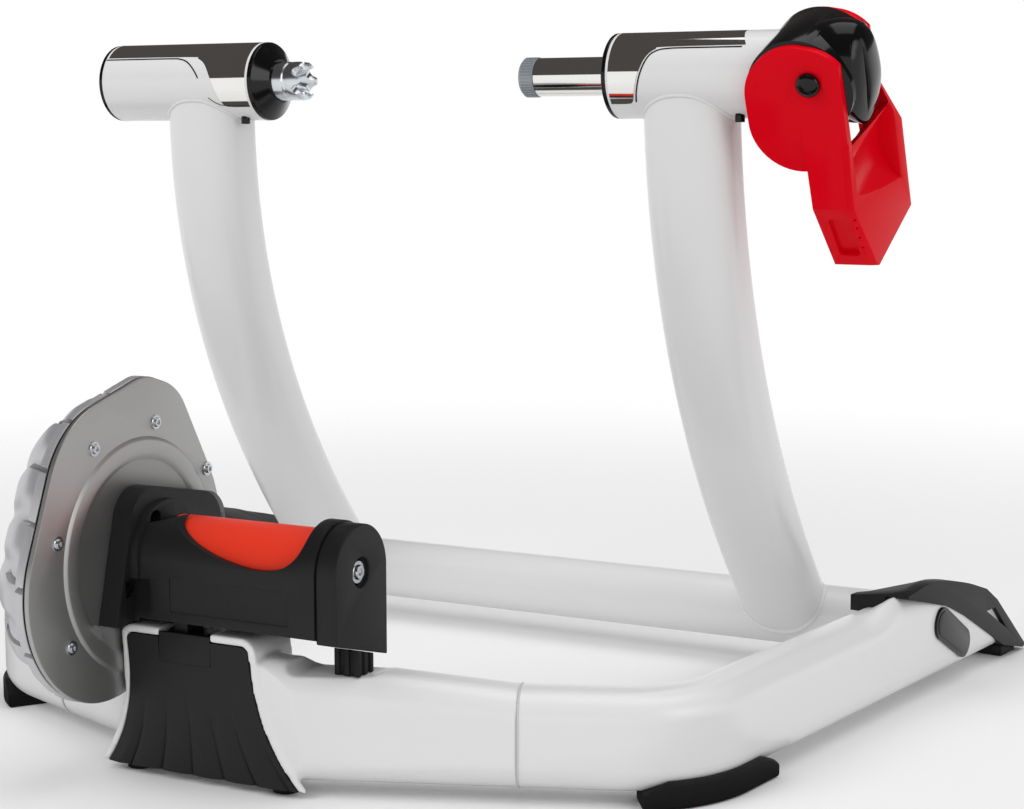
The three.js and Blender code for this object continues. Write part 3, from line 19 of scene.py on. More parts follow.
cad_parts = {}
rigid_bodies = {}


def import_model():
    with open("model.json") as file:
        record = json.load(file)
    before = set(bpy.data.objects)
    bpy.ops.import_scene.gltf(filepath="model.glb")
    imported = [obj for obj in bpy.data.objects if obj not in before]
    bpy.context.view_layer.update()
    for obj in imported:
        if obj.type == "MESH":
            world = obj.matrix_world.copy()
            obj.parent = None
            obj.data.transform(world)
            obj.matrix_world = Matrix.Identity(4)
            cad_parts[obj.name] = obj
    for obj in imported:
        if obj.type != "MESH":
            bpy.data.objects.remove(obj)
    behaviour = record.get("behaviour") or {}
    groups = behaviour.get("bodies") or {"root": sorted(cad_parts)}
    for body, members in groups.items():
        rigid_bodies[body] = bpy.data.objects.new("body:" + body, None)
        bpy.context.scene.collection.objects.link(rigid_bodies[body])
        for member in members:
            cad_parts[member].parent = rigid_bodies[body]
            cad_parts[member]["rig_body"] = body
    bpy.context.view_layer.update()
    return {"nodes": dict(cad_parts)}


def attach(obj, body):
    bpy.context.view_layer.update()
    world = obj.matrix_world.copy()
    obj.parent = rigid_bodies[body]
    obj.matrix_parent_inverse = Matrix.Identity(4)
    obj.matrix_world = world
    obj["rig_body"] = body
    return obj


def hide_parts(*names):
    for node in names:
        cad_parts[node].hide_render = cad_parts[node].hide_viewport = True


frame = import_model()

logging.basicConfig(level=logging.INFO, format="%(message)s")
log = logging.getLogger("trainer")

MM = 0.001
FORWARD_SHIFT = 11.0923  # mm from the source's origin to the frame's, along Y
AXLE_HEIGHT = 403.5
AXLE = (0.0, AXLE_HEIGHT)  # the line of the axle clamps, in Y and Z

Mesh = bpy.types.Mesh
NodeTree = bpy.types.NodeTree
Socket = bpy.types.NodeSocket
Pair = tuple[float, float]
Triple = tuple[float, float, float]
Ring = list[Vector]


class Cut(Enum):
    """How one solid is combined with another."""

    AWAY = "DIFFERENCE"
    JOIN = "UNION"
    COMMON = "INTERSECT"


class Axis(Enum):
    """Which way an outline is extruded, as the last of three axes; two draw the outline."""

    X = (Vector((0, 1, 0)), Vector((0, 0, 1)), Vector((1, 0, 0)))
    Y = (Vector((1, 0, 0)), Vector((0, 0, 1)), Vector((0, 1, 0)))
    Z = (Vector((1, 0, 0)), Vector((0, 1, 0)), Vector((0, 0, 1)))


# Outlines


def clamped(value: float) -> float:
    """The value kept between zero and one."""
    return min(1.0, max(0.0, value))


def arc(centre: Pair, radius: float, start: float, end: float, steps: int) -> list[Pair]:
    """Points on an arc, angles in degrees.

    Args:
        centre: the arc's centre.
        radius: its radius in mm.
        start: first angle.
        end: last angle.
        steps: number of steps between them.

    Returns:
        steps + 1 points.
    """
    angles = [math.radians(start + (end - start) * i / steps) for i in range(steps + 1)]
    return [(centre[0] + radius * math.cos(a), centre[1] + radius * math.sin(a)) for a in angles]


def circle(centre: Pair, radius: float, steps: int = 64) -> list[Pair]:
    """A whole circle of points without a repeated end."""
    return arc(centre, radius, 0, 360, steps)[:-1]


def rounded_box(half: float, low: float, high: float, radius: float, steps: int = 8) -> list[Pair]:
    """An upright box outline with rounded corners, centred on zero.

    Args:
        half: half its width.
        low: its lower edge.
        high: its upper edge.
        radius: its corners' radius.
        steps: steps in each corner.

    Returns:
        The outline, turning left.
    """
    return [
        *arc((half - radius, low + radius), radius, -90, 0, steps),
        *arc((half - radius, high - radius), radius, 0, 90, steps),
        *arc((radius - half, high - radius), radius, 90, 180, steps),
        *arc((radius - half, low + radius), radius, 180, 270, steps),
    ]


def hull_of_circles(circles: Sequence[Triple], steps: int = 160) -> list[Pair]:
    """The tight outline round several circles.

    Args:
        circles: each circle as across, up and radius.
        steps: number of points.

    Returns:
        The outline, turning left.
    """
    outline = []
    for i in range(steps):
        c, s = math.cos(math.tau * i / steps), math.sin(math.tau * i / steps)
        across, up, radius = max(circles, key=lambda q: q[0] * c + q[1] * s + q[2])
        outline.append((across + radius * c, up + radius * s))
    return outline


def evened(outline: Sequence[Pair], count: int) -> list[Pair]:
    """The same closed outline with its points spaced evenly.

    Args:
        outline: a closed outline.
        count: how many points to return.

    Returns:
        The evened outline.
    """
    closed = [*outline, outline[0]]
    lengths = [math.dist(a, b) for a, b in zip(closed, closed[1:])]
    total = sum(lengths)
    result, run, j = [], 0.0, 0
    for i in range(count):
        target = total * i / count
        while run + lengths[j] < target:
            run += lengths[j]
            j += 1
        t = (target - run) / lengths[j] if lengths[j] else 0.0
        (a, b), (c, d) = closed[j], closed[j + 1]
        result.append((a + (c - a) * t, b + (d - b) * t))
    return result


def beside(path: Sequence[Pair], distance: float) -> list[Pair]:
    """A path moved to its left.

    Args:
        path: the path.
        distance: how far it is moved, or less than zero for its right.

    Returns:
        The moved path.
    """
    moved = []
    for i, (x, z) in enumerate(path):
        a, b = path[max(i - 1, 0)], path[min(i + 1, len(path) - 1)]
        step = distance / (math.dist(a, b) or 1.0)
        moved.append((x - (b[1] - a[1]) * step, z + (b[0] - a[0]) * step))
    return moved


def spline(t: float, a: float, b: float, c: float, d: float) -> float:
    """The value at a share t of the way from b to c, on the curve through all four."""
    straight, square, cube = c - a, 2 * a - 5 * b + 4 * c - d, 3 * b - a - 3 * c + d
    return 0.5 * (2 * b + straight * t + square * t * t + cube * t**3)


def smooth_table(rows: Sequence[Sequence[float]], steps: int) -> list[list[float]]:
    """Fills a table in with a smooth curve through its rows.

    Args:
        rows: the known rows.
        steps: how many steps to put between two rows.

    Returns:
        The filled table, which still passes through every row.
    """
    result = []
    for i in range(len(rows) - 1):
        p0, p1 = rows[max(i - 1, 0)], rows[i]
        p2, p3 = rows[i + 1], rows[min(i + 2, len(rows) - 1)]
        for k in range(steps):
            t = k / steps
            result.append([spline(t, *four) for four in zip(p0, p1, p2, p3)])
    return [*result, list(rows[-1])]


# Meshes


def in_frame(point: Sequence[float]) -> Triple:
    """A place in the source's millimetres as the frame's metres."""
    return (point[0] * MM, (point[1] + FORWARD_SHIFT) * MM, point[2] * MM)


TO_FRAME = Matrix.Translation(in_frame((0, 0, 0)))
TO_SOURCE = TO_FRAME.inverted()


def mesh_of(points: Sequence[Vector], faces: Sequence[Sequence[int]]) -> Mesh:
    """A mesh in the frame's metres with its faces turned outwards.

    Args:
        points: corners in the source's millimetres.
        faces: lists of corner numbers.

    Returns:
        The mesh.
    """
    mesh = bpy.data.meshes.new("shape")
    mesh.from_pydata([in_frame(p) for p in points], [], [list(f) for f in faces])
    work = bmesh.new()
    work.from_mesh(mesh)
    bmesh.ops.remove_doubles(work, verts=work.verts, dist=1e-7)
    bmesh.ops.recalc_face_normals(work, faces=work.faces)
    work.to_mesh(mesh)
    work.free()
    return mesh


def loft(rings: Sequence[Ring], wrapped: bool = False) -> Mesh:
    """A skin through rings of equal count.

    Args:
        rings: the rings, in order.
        wrapped: True if the last ring joins the first, as on a closed loop.

    Returns:
        A closed mesh.
    """
    count = len(rings[0])
    points = [p for ring in rings for p in ring]
    faces = []
    last = len(rings) if wrapped else len(rings) - 1
    for i in range(last):
        for j in range(count):
            a, b = i * count, ((i + 1) % len(rings)) * count
            k = (j + 1) % count
            faces.append((a + j, a + k, b + k, b + j))
    if not wrapped:
        faces.append(tuple(range(count))[::-1])
        faces.append(tuple((len(rings) - 1) * count + j for j in range(count)))
    return mesh_of(points, faces)


def sections(outline: Sequence[Pair], x: float) -> Ring:
    """An outline in Y and Z as points at a place along X."""
    return [Vector((x, y, z)) for y, z in outline]


def extruded(outline: Sequence[Pair], axis: Axis, start: float, end: float) -> Mesh:
    """A straight prism of an outline along one axis.

    Args:
        outline: the closed outline.
        axis: the axis.
        start: where it starts.
        end: where it ends.

    Returns:
        The prism.
    """
    across, up, along = axis.value
    return loft([[across * a + up * b + along * t for a, b in outline] for t in (start, end)])


def box(low: Sequence[float], high: Sequence[float]) -> Mesh:
    """An upright block between two corners."""
    outline = [(low[0], low[1]), (high[0], low[1]), (high[0], high[1]), (low[0], high[1])]
    return extruded(outline, Axis.Z, low[2], high[2])


def turned(profile: Sequence[Pair], centre: Pair, steps: int = 96) -> Mesh:
    """A turned piece about a line along X.

    Args:
        profile: place along X and radius of each corner, from one end to the other.
        centre: the line's place in Y and Z.
        steps: sides of the turning.

    Returns:
        A closed mesh; a profile that starts and ends off the line is a ring.
    """
    ring_like = profile[0][1] > 0 and profile[-1][1] > 0
    rings = []
    for i in range(steps):
        c, s = math.cos(math.tau * i / steps), math.sin(math.tau * i / steps)
        rings.append([Vector((x, centre[0] + r * c, centre[1] + r * s)) for x, r in profile])
    if ring_like:
        return loft(rings, wrapped=True)
    points = [p for ring in rings for p in ring]
    count = len(profile)
    faces = []
    for i in range(steps):
        k = (i + 1) % steps
        for j in range(count - 1):
            corners = (i * count + j, i * count + j + 1, k * count + j + 1, k * count + j)
            faces.append(corners)
    return mesh_of(points, faces)


def rod(start: float, end: float, radius: float, centre: Pair, steps: int = 96) -> Mesh:
    """A plain round bar along X."""
    return turned([(start, 0), (start, radius), (end, radius), (end, 0)], centre, steps)


def ring(
    start: float, end: float, bore: float, radius: float, centre: Pair, steps: int = 96
) -> Mesh:
    """A plain tube along X."""
    return turned([(start, bore), (start, radius), (end, radius), (end, bore)], centre, steps)


def softened_ring(
    start: float, end: float, bore: float, radius: float, edge: float, centre: Pair
) -> Mesh:
    """A tube along X with rounded outer edges.

    Args:
        start: where it starts.
        end: where it ends.
        bore: its inner radius.
        radius: its outer radius.
        edge: the rounding.
        centre: its line's place in Y and Z.

    Returns:
        A closed mesh.
    """
    profile = [
        (start, bore),
        *[(start + edge - a, radius - edge + b) for a, b in arc((0, 0), edge, 0, 90, 5)],
        *[(end - edge + b, radius - edge + a) for a, b in arc((0, 0), edge, 0, 90, 5)],
        (end, bore),
    ]
    return turned(profile, centre)


def tube_along(
    path: Sequence[Vector], radius: float, sides: int = 10, wrapped: bool = False
) -> Mesh:
    """A round bead that follows a path.

    Args:
        path: the bead's centre line in mm.
        radius: its radius.
        sides: how many sides it has.
        wrapped: True for a closed loop.

    Returns:
        A closed mesh.
    """
    rings: list[Ring] = []
    count = len(path)
    normal = Vector((0, 0, 1))
    for i, point in enumerate(path):
        before = path[i - 1] if wrapped or i else path[0]
        after = path[(i + 1) % count] if wrapped or i + 1 < count else path[-1]
        along = (after - before).normalized()
        side = along.cross(normal)
        if side.length < 0.1:
            side = along.cross(Vector((1, 0, 0)))
        side.normalize()
        out = side.cross(along)
        normal = out
        rings.append([point + side * a + out * b for a, b in circle((0, 0), radius, sides)])
    return loft(rings, wrapped)


def combined(base: Mesh, other: Mesh, how: Cut) -> Mesh:
    """Joins, cuts or intersects two closed meshes.

    Args:
        base: the first solid.
        other: the second solid.
        how: which of the three.

    Returns:
        The new mesh.
    """
    host = bpy.data.objects.new("host", base)
    tool = bpy.data.objects.new("tool", other)
    for thing in (host, tool):
        bpy.context.scene.collection.objects.link(thing)
    step = host.modifiers.new("combine", "BOOLEAN")
    step.operation = how.value
    step.solver = "EXACT"
    step.object = tool
    result = applied(host)
    for thing in (host, tool):
        bpy.data.objects.remove(thing)
    return result


def applied(thing: bpy.types.Object) -> Mesh:
    """A plain mesh of an object with its modifiers in it.

    Args:
        thing: the object.

    Returns:
        The mesh.
    """
    graph = bpy.context.evaluated_depsgraph_get()
    graph.update()
    return bpy.data.meshes.new_from_object(thing.evaluated_get(graph), depsgraph=graph)


def cut_away(base: Mesh, *cutters: Mesh) -> Mesh:
    """The first solid less all the others."""
    return reduce(lambda solid, cutter: combined(solid, cutter, Cut.AWAY), cutters, base)


def joined(base: Mesh, *others: Mesh) -> Mesh:
    """All the solids as one."""
    return reduce(lambda solid, other: combined(solid, other, Cut.JOIN), others, base)


def flipped(mesh: Mesh) -> Mesh:
    """The mirror image of a mesh from side to side.

    Args:
        mesh: the mesh, which stays.

    Returns:
        The image.
    """
    copy = mesh.copy()
    copy.transform(Matrix.Diagonal((-1, 1, 1, 1)))
    copy.flip_normals()
    return copy


def with_modifiers(mesh: Mesh, steps: Sequence[tuple[str, dict]]) -> Mesh:
    """A mesh with a row of modifiers applied to it.

    Args:
        mesh: the mesh.
        steps: each modifier's type and its settings.

    Returns:
        The finished mesh.
    """
    host = bpy.data.objects.new("host", mesh)
    bpy.context.scene.collection.objects.link(host)
    for kind, settings in steps:
        modifier = host.modifiers.new(kind.lower(), kind)
        for key, value in settings.items():
            setattr(modifier, key, value)
    result = applied(host)
    bpy.data.objects.remove(host)
    return result


def tidied(mesh: Mesh) -> Mesh:
    """A mesh with doubles merged and flat areas made one face each.

    Args:
        mesh: the mesh, which is changed.

    Returns:
        The same mesh.
    """
    work = bmesh.new()
    work.from_mesh(mesh)
    bmesh.ops.remove_doubles(work, verts=work.verts, dist=2e-6)
    bmesh.ops.dissolve_limit(
        work, angle_limit=math.radians(1.0), verts=work.verts, edges=work.edges
    )
    bmesh.ops.recalc_face_normals(work, faces=work.faces)
    work.to_mesh(mesh)
    work.free()
    return mesh


def edged(mesh: Mesh, width: float, segments: int = 3, angle: float = 32) -> Mesh:
    """A mesh with its sharp edges rounded.

    Args:
        mesh: the mesh.
        width: the rounding in mm.
        segments: steps across it.
        angle: the least angle that counts as sharp, in degrees.

    Returns:
        The rounded mesh.
    """
    settings = {
        "width": width * MM,
        "segments": segments,
        "limit_method": "ANGLE",
        "angle_limit": math.radians(angle),
        "use_clamp_overlap": True,
        "miter_outer": "MITER_ARC",
    }
    return with_modifiers(tidied(mesh), [("BEVEL", settings)])


def cast(mesh: Mesh, voxel: float, passes: int) -> Mesh:
    """A mesh made over in one even skin with its corners flowed together.

    Args:
        mesh: a closed mesh.
        voxel: the size of a cell in mm.
        passes: how many times the skin is smoothed.

    Returns:
        The new mesh.
    """
    return with_modifiers(
        mesh,
        [
            ("REMESH", {"mode": "VOXEL", "voxel_size": voxel * MM}),
            ("SMOOTH", {"factor": 0.5, "iterations": passes}),
        ],
    )


# Finishes


@dataclass(frozen=True)
class Finish:
    """One finish, with its slot in the record, its colour, gloss and surface texture."""

    name: str
    slot: str
    colour: Triple
    roughness: float
    metallic: float = 0.0
    coat: float = 0.0
    grain: float = 0.0
    grain_scale: float = 900.0
    mottle: float = 0.04
    mottle_scale: float = 25.0
    brush: float = 0.0
    emboss: float = 0.0002
    specular: float = 0.5


WHITE = Finish(
    "white_powder", "white_paint", (0.80, 0.80, 0.80), 0.3,
    coat=0.2,
    grain=0.04,
    grain_scale=420.0,
    mottle=0.004,
)
CHROME = Finish("mirror_chrome", "chrome", (0.84, 0.83, 0.81), 0.05, metallic=1.0, mottle=0.01)
ZINC = Finish(
    "bright_zinc", "zinc", (0.66, 0.69, 0.72), 0.22, 1.0,
    grain=0.08,
    grain_scale=600.0,
    mottle=0.06,
)
STEEL = Finish(
    "turned_steel", "steel", (0.42, 0.43, 0.45), 0.32, metallic=1.0, brush=0.1, mottle=0.08
)
CHARCOAL = Finish(
    "charcoal_grain", "dark_plastic", (0.0085, 0.0088, 0.0095), 0.5,
    grain=0.3,
    grain_scale=1300.0,
    specular=0.3,
)
BLACK = Finish(
    "gloss_black", "gloss_black", (0.004, 0.004, 0.0045), 0.14,
    coat=0.1,
    mottle=0.02,
    specular=0.26,
)
RUBBER = Finish("soft_rubber", "rubber", (0.006, 0.006, 0.0065), 0.6, grain=0.3, specular=0.3)
RED = Finish(
    "gloss_red", "red_plastic", (0.76, 0.001, 0.01), 0.24,
    coat=0.04,
    mottle=0.01,
    specular=0.04,
)
ELASTOMER = Finish(
    "roller_red", "red_elastomer", (0.78, 0.035, 0.012), 0.45,
    grain=0.1,
    grain_scale=700.0,
    mottle=0.02,
    specular=0.25,
)
PLATE = Finish(
    "satin_plate", "satin_plate", (0.43, 0.43, 0.425), 0.42, 0.9,
    brush=0.12,
    mottle=0.05,
    mottle_scale=16.0,
)
ALLOY = Finish(
    "cast_alloy", "cast_alloy", (0.56, 0.555, 0.575), 0.42, 0.6,
    grain=0.2,
    grain_scale=1000.0,
    mottle=0.05,
)
TIP = Finish(
    "grey_knurl", "grey_tip", (0.36, 0.39, 0.42), 0.5, 0.4, grain=0.25, grain_scale=800.0
)
# A grey darker than the white paint, for the thin bead round each seam to the yoke.
SEAM = Finish("seam_grey", "white_paint", (0.62, 0.62, 0.62), 0.4)


def fill(tree: NodeTree, node: bpy.types.Node, inputs: dict) -> None:
    """Links sockets to a node's inputs, or sets their values.

    Args:
        tree: the node's tree.
        node: the node.
        inputs: a socket or a value for each input, by its label or number.
    """
    for label, source in inputs.items():
        if isinstance(source, Socket):
            tree.links.new(source, node.inputs[label])
        else:
            node.inputs[label].default_value = source


def add_node(
    tree: NodeTree, kind: str, inputs: dict | None = None, **settings: object
) -> bpy.types.Node:
    """Adds a node to a tree.

    Args:
        tree: the tree.
        kind: the node's type.
        inputs: what goes into its inputs, as in fill.
        settings: its plain settings.

    Returns:
        The node.
    """
    node = tree.nodes.new(kind)
    for key, value in settings.items():
        setattr(node, key, value)
    fill(tree, node, inputs or {})
    return node


class Paintbox:
    """Makes each finish's material once, from shared effect groups."""

    coat_roughness = 0.08
    streak_scale = 260.0

    def __init__(self) -> None:
        """Builds the shared groups."""
        self._made: dict[str, bpy.types.Material] = {}
        self._grain = self._height_group("moulded_grain", 900.0, 3.0)
        self._mottle = self._mottle_group()
        self._brush = self._height_group(
            "brushed_streaks", self.streak_scale, 5.0, (1.0, 1.0, 0.06)
        )

    @staticmethod
    def _group(name: str, inputs: dict[str, float], output: str) -> tuple:
        """A new shader group with its ends in place.

        Args:
            name: the group's name.
            inputs: each input's name and default.
            output: the output's name.

        Returns:
            The group, its input node and its output node.
        """
        group = bpy.data.node_groups.new(name, "ShaderNodeTree")
        face = group.interface
        face.new_socket("Point", in_out="INPUT", socket_type="NodeSocketVector")
        for label, value in inputs.items():
            socket = face.new_socket(label, in_out="INPUT", socket_type="NodeSocketFloat")
            socket.default_value = value
        face.new_socket(output, in_out="OUTPUT", socket_type="NodeSocketFloat")
        return group, group.nodes.new("NodeGroupInput"), group.nodes.new("NodeGroupOutput")

    def _height_group(
        self, name: str, scale: float, detail: float, stretch: Triple | None = None
    ) -> NodeTree:
        """A group that puts out noise as a height.

        Args:
            name: the group's name.
            scale: the noise's scale when none is given.
            detail: how much detail it has.
            stretch: how the pattern is drawn out, or None.

        Returns:
            The group.
        """
        group, start, end = self._group(name, {"Scale": scale}, "Height")
        point = start.outputs["Point"]
        if stretch:
            drawn = add_node(group, "ShaderNodeMapping", {"Vector": point, "Scale": stretch})
            point = drawn.outputs["Vector"]
        noise = add_node(
            group,
            "ShaderNodeTexNoise",
            {"Vector": point, "Scale": start.outputs["Scale"], "Detail": detail},
        )
        fill(group, end, {"Height": noise.outputs["Fac"]})
        return group

    def _mottle_group(self) -> NodeTree:
        """Broad cloudy change, centred on zero, for colour and gloss.

        Returns:
            The group.
        """
        defaults = {"Scale": 25.0, "Amount": 0.05}
        group, start, end = self._group("cloudy_mottle", defaults, "Value")
        point, scale, amount = (start.outputs[k] for k in ("Point", "Scale", "Amount"))
        noise = add_node(
            group, "ShaderNodeTexNoise", {"Vector": point, "Scale": scale, "Detail": 4.0}
        ).outputs["Fac"]
        spread = add_node(
            group,
            "ShaderNodeMapRange",
            {"Value": noise, "From Min": 0.3, "From Max": 0.7, "To Min": -1.0, "To Max": 1.0},
        ).outputs["Result"]
        sized = add_node(group, "ShaderNodeMath", {0: spread, 1: amount}, operation="MULTIPLY")
        fill(group, end, {"Value": sized.outputs["Value"]})
        return group

    @staticmethod
    def _use(tree: NodeTree, group: NodeTree, inputs: dict) -> Socket:
        """Places a shared group in a material and returns its output."""
        return add_node(tree, "ShaderNodeGroup", inputs, node_tree=group).outputs[0]

    def material(self, finish: Finish) -> bpy.types.Material:
        """The material of a finish.

        Args:
            finish: what it should look like.

        Returns:
            The material, made on first use.
        """
        if finish.name in self._made:
            return self._made[finish.name]
        material = bpy.data.materials.new(finish.name)
        material.use_nodes = True
        material.diffuse_color = (*finish.colour, 1.0)
        tree = material.node_tree
        point = add_node(tree, "ShaderNodeTexCoord").outputs["Object"]
        amount = {"Point": point, "Scale": finish.mottle_scale, "Amount": finish.mottle}
        cloud = self._use(tree, self._mottle, amount)
        inputs = {
            "Metallic": finish.metallic,
            "Coat Weight": finish.coat,
            "Coat Roughness": self.coat_roughness,
            "Specular IOR Level": finish.specular,
            "Base Color": self._tint(tree, finish, cloud),
            "Roughness": self._gloss(tree, finish, cloud),
        }
        if finish.grain or finish.brush:
            inputs["Normal"] = self._relief(tree, finish, point)
        fill(tree, tree.nodes["Principled BSDF"], inputs)
        self._made[finish.name] = material
        return material

    @staticmethod
    def _tint(tree: NodeTree, finish: Finish, cloud: Socket) -> Socket:
        """The base colour, which drifts a little over the surface.

        Args:
            tree: the material's tree.
            finish: the finish.
            cloud: the drift.

        Returns:
            The colour.
        """
        drift = add_node(tree, "ShaderNodeMath", {0: cloud, 1: 1.0}, operation="ADD")
        inputs = {0: finish.colour, "Scale": drift.outputs["Value"]}
        return add_node(tree, "ShaderNodeVectorMath", inputs, operation="SCALE").outputs["Vector"]

    @staticmethod
    def _gloss(tree: NodeTree, finish: Finish, cloud: Socket) -> Socket:
        """The roughness, which drifts half as much.

        Args:
            tree: the material's tree.
            finish: the finish.
            cloud: the drift.

        Returns:
            The roughness.
        """
        inputs = {0: cloud, 1: 0.5, 2: finish.roughness}
        settings = {"operation": "MULTIPLY_ADD", "use_clamp": True}
        return add_node(tree, "ShaderNodeMath", inputs, **settings).outputs["Value"]

    def _relief(self, tree: NodeTree, finish: Finish, point: Socket) -> Socket:
        """Grain or brushing as a bump.

        Args:
            tree: the material's tree.
            finish: the finish.
            point: the place on the object.

        Returns:
            The normal.
        """
        group, scale, strength = (
            (self._brush, self.streak_scale, finish.brush)
            if finish.brush
            else (self._grain, finish.grain_scale, finish.grain)
        )
        height = self._use(tree, group, {"Point": point, "Scale": scale})
        inputs = {"Strength": strength, "Distance": finish.emboss, "Height": height}
        return add_node(tree, "ShaderNodeBump", inputs).outputs["Normal"]


PAINT = Paintbox()


def show(
    name: str,
    mesh: Mesh,
    finish: Finish,
    body: str,
    stands_for: Sequence[str] = (),
    smooth_angle: float = 35,
) -> None:
    """Puts a finished mesh in the scene as one piece.

    Args:
        name: the piece's name.
        mesh: its mesh, already in place.
        finish: its finish, which names its slot in the record.
        body: the body that it rides on.
        stands_for: the frame's nodes that it replaces.
        smooth_angle: edges sharper than this stay sharp, in degrees.
    """
    mesh.name = name
    mesh.materials.clear()
    mesh.materials.append(PAINT.material(finish))
    for polygon in mesh.polygons:
        polygon.material_index = 0
    mesh.shade_smooth()
    mesh.set_sharp_from_angle(angle=math.radians(smooth_angle))
    piece = bpy.data.objects.new(name, mesh)
    bpy.context.scene.collection.objects.link(piece)
    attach(piece, body)
    if stands_for:
        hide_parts(*stands_for)
    log.info("%s: %d faces on %s", name, len(mesh.polygons), body)


def show_pair(
    name: str, mesh: Mesh, finish: Finish, body: str, node: str = "", smooth_angle: float = 35
) -> None:
    """Shows a right-hand mesh and its mirror image on the left.

    Args:
        name: the pieces' name, with braces for the side.
        mesh: the right-hand mesh.
        finish: their finish.
        body: the body that both ride on.
        node: the nodes that they replace, with braces for the side.
        smooth_angle: as in show.
    """
    for side, half in (("right", mesh), ("left", flipped(mesh))):
        stands_for = [node.format(side)] if node else []
        show(name.format(side), half, finish, body, stands_for, smooth_angle)


def dress_node(node: str, finish: Finish, edge: float = 0.5) -> None:
    """Shows a frame node with its edges rounded and a finish.

    Args:
        node: the node's name.
        finish: its finish.
        edge: how far its edges are rounded, in mm.
    """
    original = frame["nodes"][node]
    mesh = tidied(original.data.copy())
    if edge:
        mesh = edged(mesh, edge, 2, 40)
    show(f"{node}_dressed", mesh, finish, original["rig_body"], [node], 42)


# Geometry Nodes


class Tree:
    """A Geometry Nodes tree that sets copies of one thing on loose points."""

    def __init__(self, name: str, inputs: dict[str, float]) -> None:
        """Starts a tree.

        Args:
            name: the tree's name.
            inputs: each input's name and default, in metres.
        """
        self.tree = bpy.data.node_groups.new(name, "GeometryNodeTree")
        face = self.tree.interface
        face.new_socket("Geometry", in_out="INPUT", socket_type="NodeSocketGeometry")
        self.ids: dict[str, str] = {}
        for label, value in inputs.items():
            socket = face.new_socket(label, in_out="INPUT", socket_type="NodeSocketFloat")
            socket.default_value = value
            self.ids[label] = socket.identifier
        face.new_socket("Geometry", in_out="OUTPUT", socket_type="NodeSocketGeometry")
        self.start = self.tree.nodes.new("NodeGroupInput")
        self.end = self.tree.nodes.new("NodeGroupOutput")

    def node(self, kind: str, inputs: dict, **settings: str) -> Socket:
        """Adds a node and returns its first output."""
        return add_node(self.tree, kind, inputs, **settings).outputs[0]

    def times(self, socket: Socket, factor: float) -> Socket:
        """A socket's value times a number."""
        return self.node("ShaderNodeMath", {0: socket, 1: factor}, operation="MULTIPLY")

    def close(self, thing: Socket, material: bpy.types.Material) -> None:
        """Sets a thing on each point, facing as the point does, and ends the tree.

        Args:
            thing: the geometry to set.
            material: its material.
        """
        facing = self.node(
            "GeometryNodeInputNamedAttribute", {"Name": "facing"}, data_type="FLOAT_VECTOR"
        )
        turn = self.node("FunctionNodeAlignRotationToVector", {"Vector": facing}, axis="Z")
        points = self.start.outputs["Geometry"]
        placed = self.node(
            "GeometryNodeInstanceOnPoints",
            {"Points": points, "Instance": thing, "Rotation": turn},
        )
        real = self.node("GeometryNodeRealizeInstances", {"Geometry": placed})
        dressed = self.node("GeometryNodeSetMaterial", {"Geometry": real, "Material": material})
        self.tree.links.new(dressed, self.end.inputs[0])

    def run(self, points: Mesh, **values: float) -> Mesh:
        """Runs the tree on a mesh.

        Args:
            points: the mesh it starts from.
            values: values of the named inputs.

        Returns:
            The plain result.
        """
        host = bpy.data.objects.new("host", points)
        bpy.context.scene.collection.objects.link(host)
        modifier = host.modifiers.new("nodes", "NODES")
        modifier.node_group = self.tree
        for label, value in values.items():
            modifier[self.ids[label]] = value
        result = applied(host)
        bpy.data.objects.remove(host)
        return result


def points_mesh(places: Sequence[Vector], facing: Sequence[Vector]) -> Mesh:
    """Loose points with a direction each, for trees that set things on them.

    Args:
        places: the points in mm.
        facing: which way each one faces.

    Returns:
        The mesh, with the direction in an attribute named facing.
    """
    mesh = bpy.data.meshes.new("points")
    mesh.from_pydata([in_frame(p) for p in places], [], [])
    attribute = mesh.attributes.new("facing", "FLOAT_VECTOR", "POINT")
    for i, direction in enumerate(facing):
        attribute.data[i].vector = direction
    return mesh


def screw_tree(material: bpy.types.Material) -> Tree:
    """A tree that sets a socket screw with a washer on each point.

    Args:
        material: the screws' material.

    Returns:
        The tree, with inputs Radius, Height and Socket in metres.
    """
    tree = Tree("socket_screws", {"Radius": 0.0035, "Height": 0.0024, "Socket": 0.0017})
    radius, height, socket = (tree.start.outputs[k] for k in ("Radius", "Height", "Socket"))
    wide, thin = tree.times(radius, 1.35), tree.times(height, 0.5)
    washer = tree.node(
        "GeometryNodeMeshCylinder", {"Vertices": 32, "Radius": wide, "Depth": thin}
    )
    narrow = tree.times(radius, 0.8)
    head = tree.node(
        "GeometryNodeMeshCone",
        {"Vertices": 32, "Radius Top": narrow, "Radius Bottom": radius, "Depth": height},
    )
    deep = tree.times(height, 1.6)
    hole = tree.node(
        "GeometryNodeMeshCylinder", {"Vertices": 6, "Radius": socket, "Depth": deep}
    )
    raised = tree.node("ShaderNodeCombineXYZ", {"Z": height})
    lifted = tree.node("GeometryNodeTransform", {"Geometry": hole, "Translation": raised})
    drilled = tree.node(
        "GeometryNodeMeshBoolean", {0: head, 1: lifted}, operation="DIFFERENCE"
    )
    both = add_node(tree.tree, "GeometryNodeJoinGeometry", {0: washer})
    tree.tree.links.new(drilled, both.inputs[0])
    tree.close(both.outputs[0], material)
    return tree


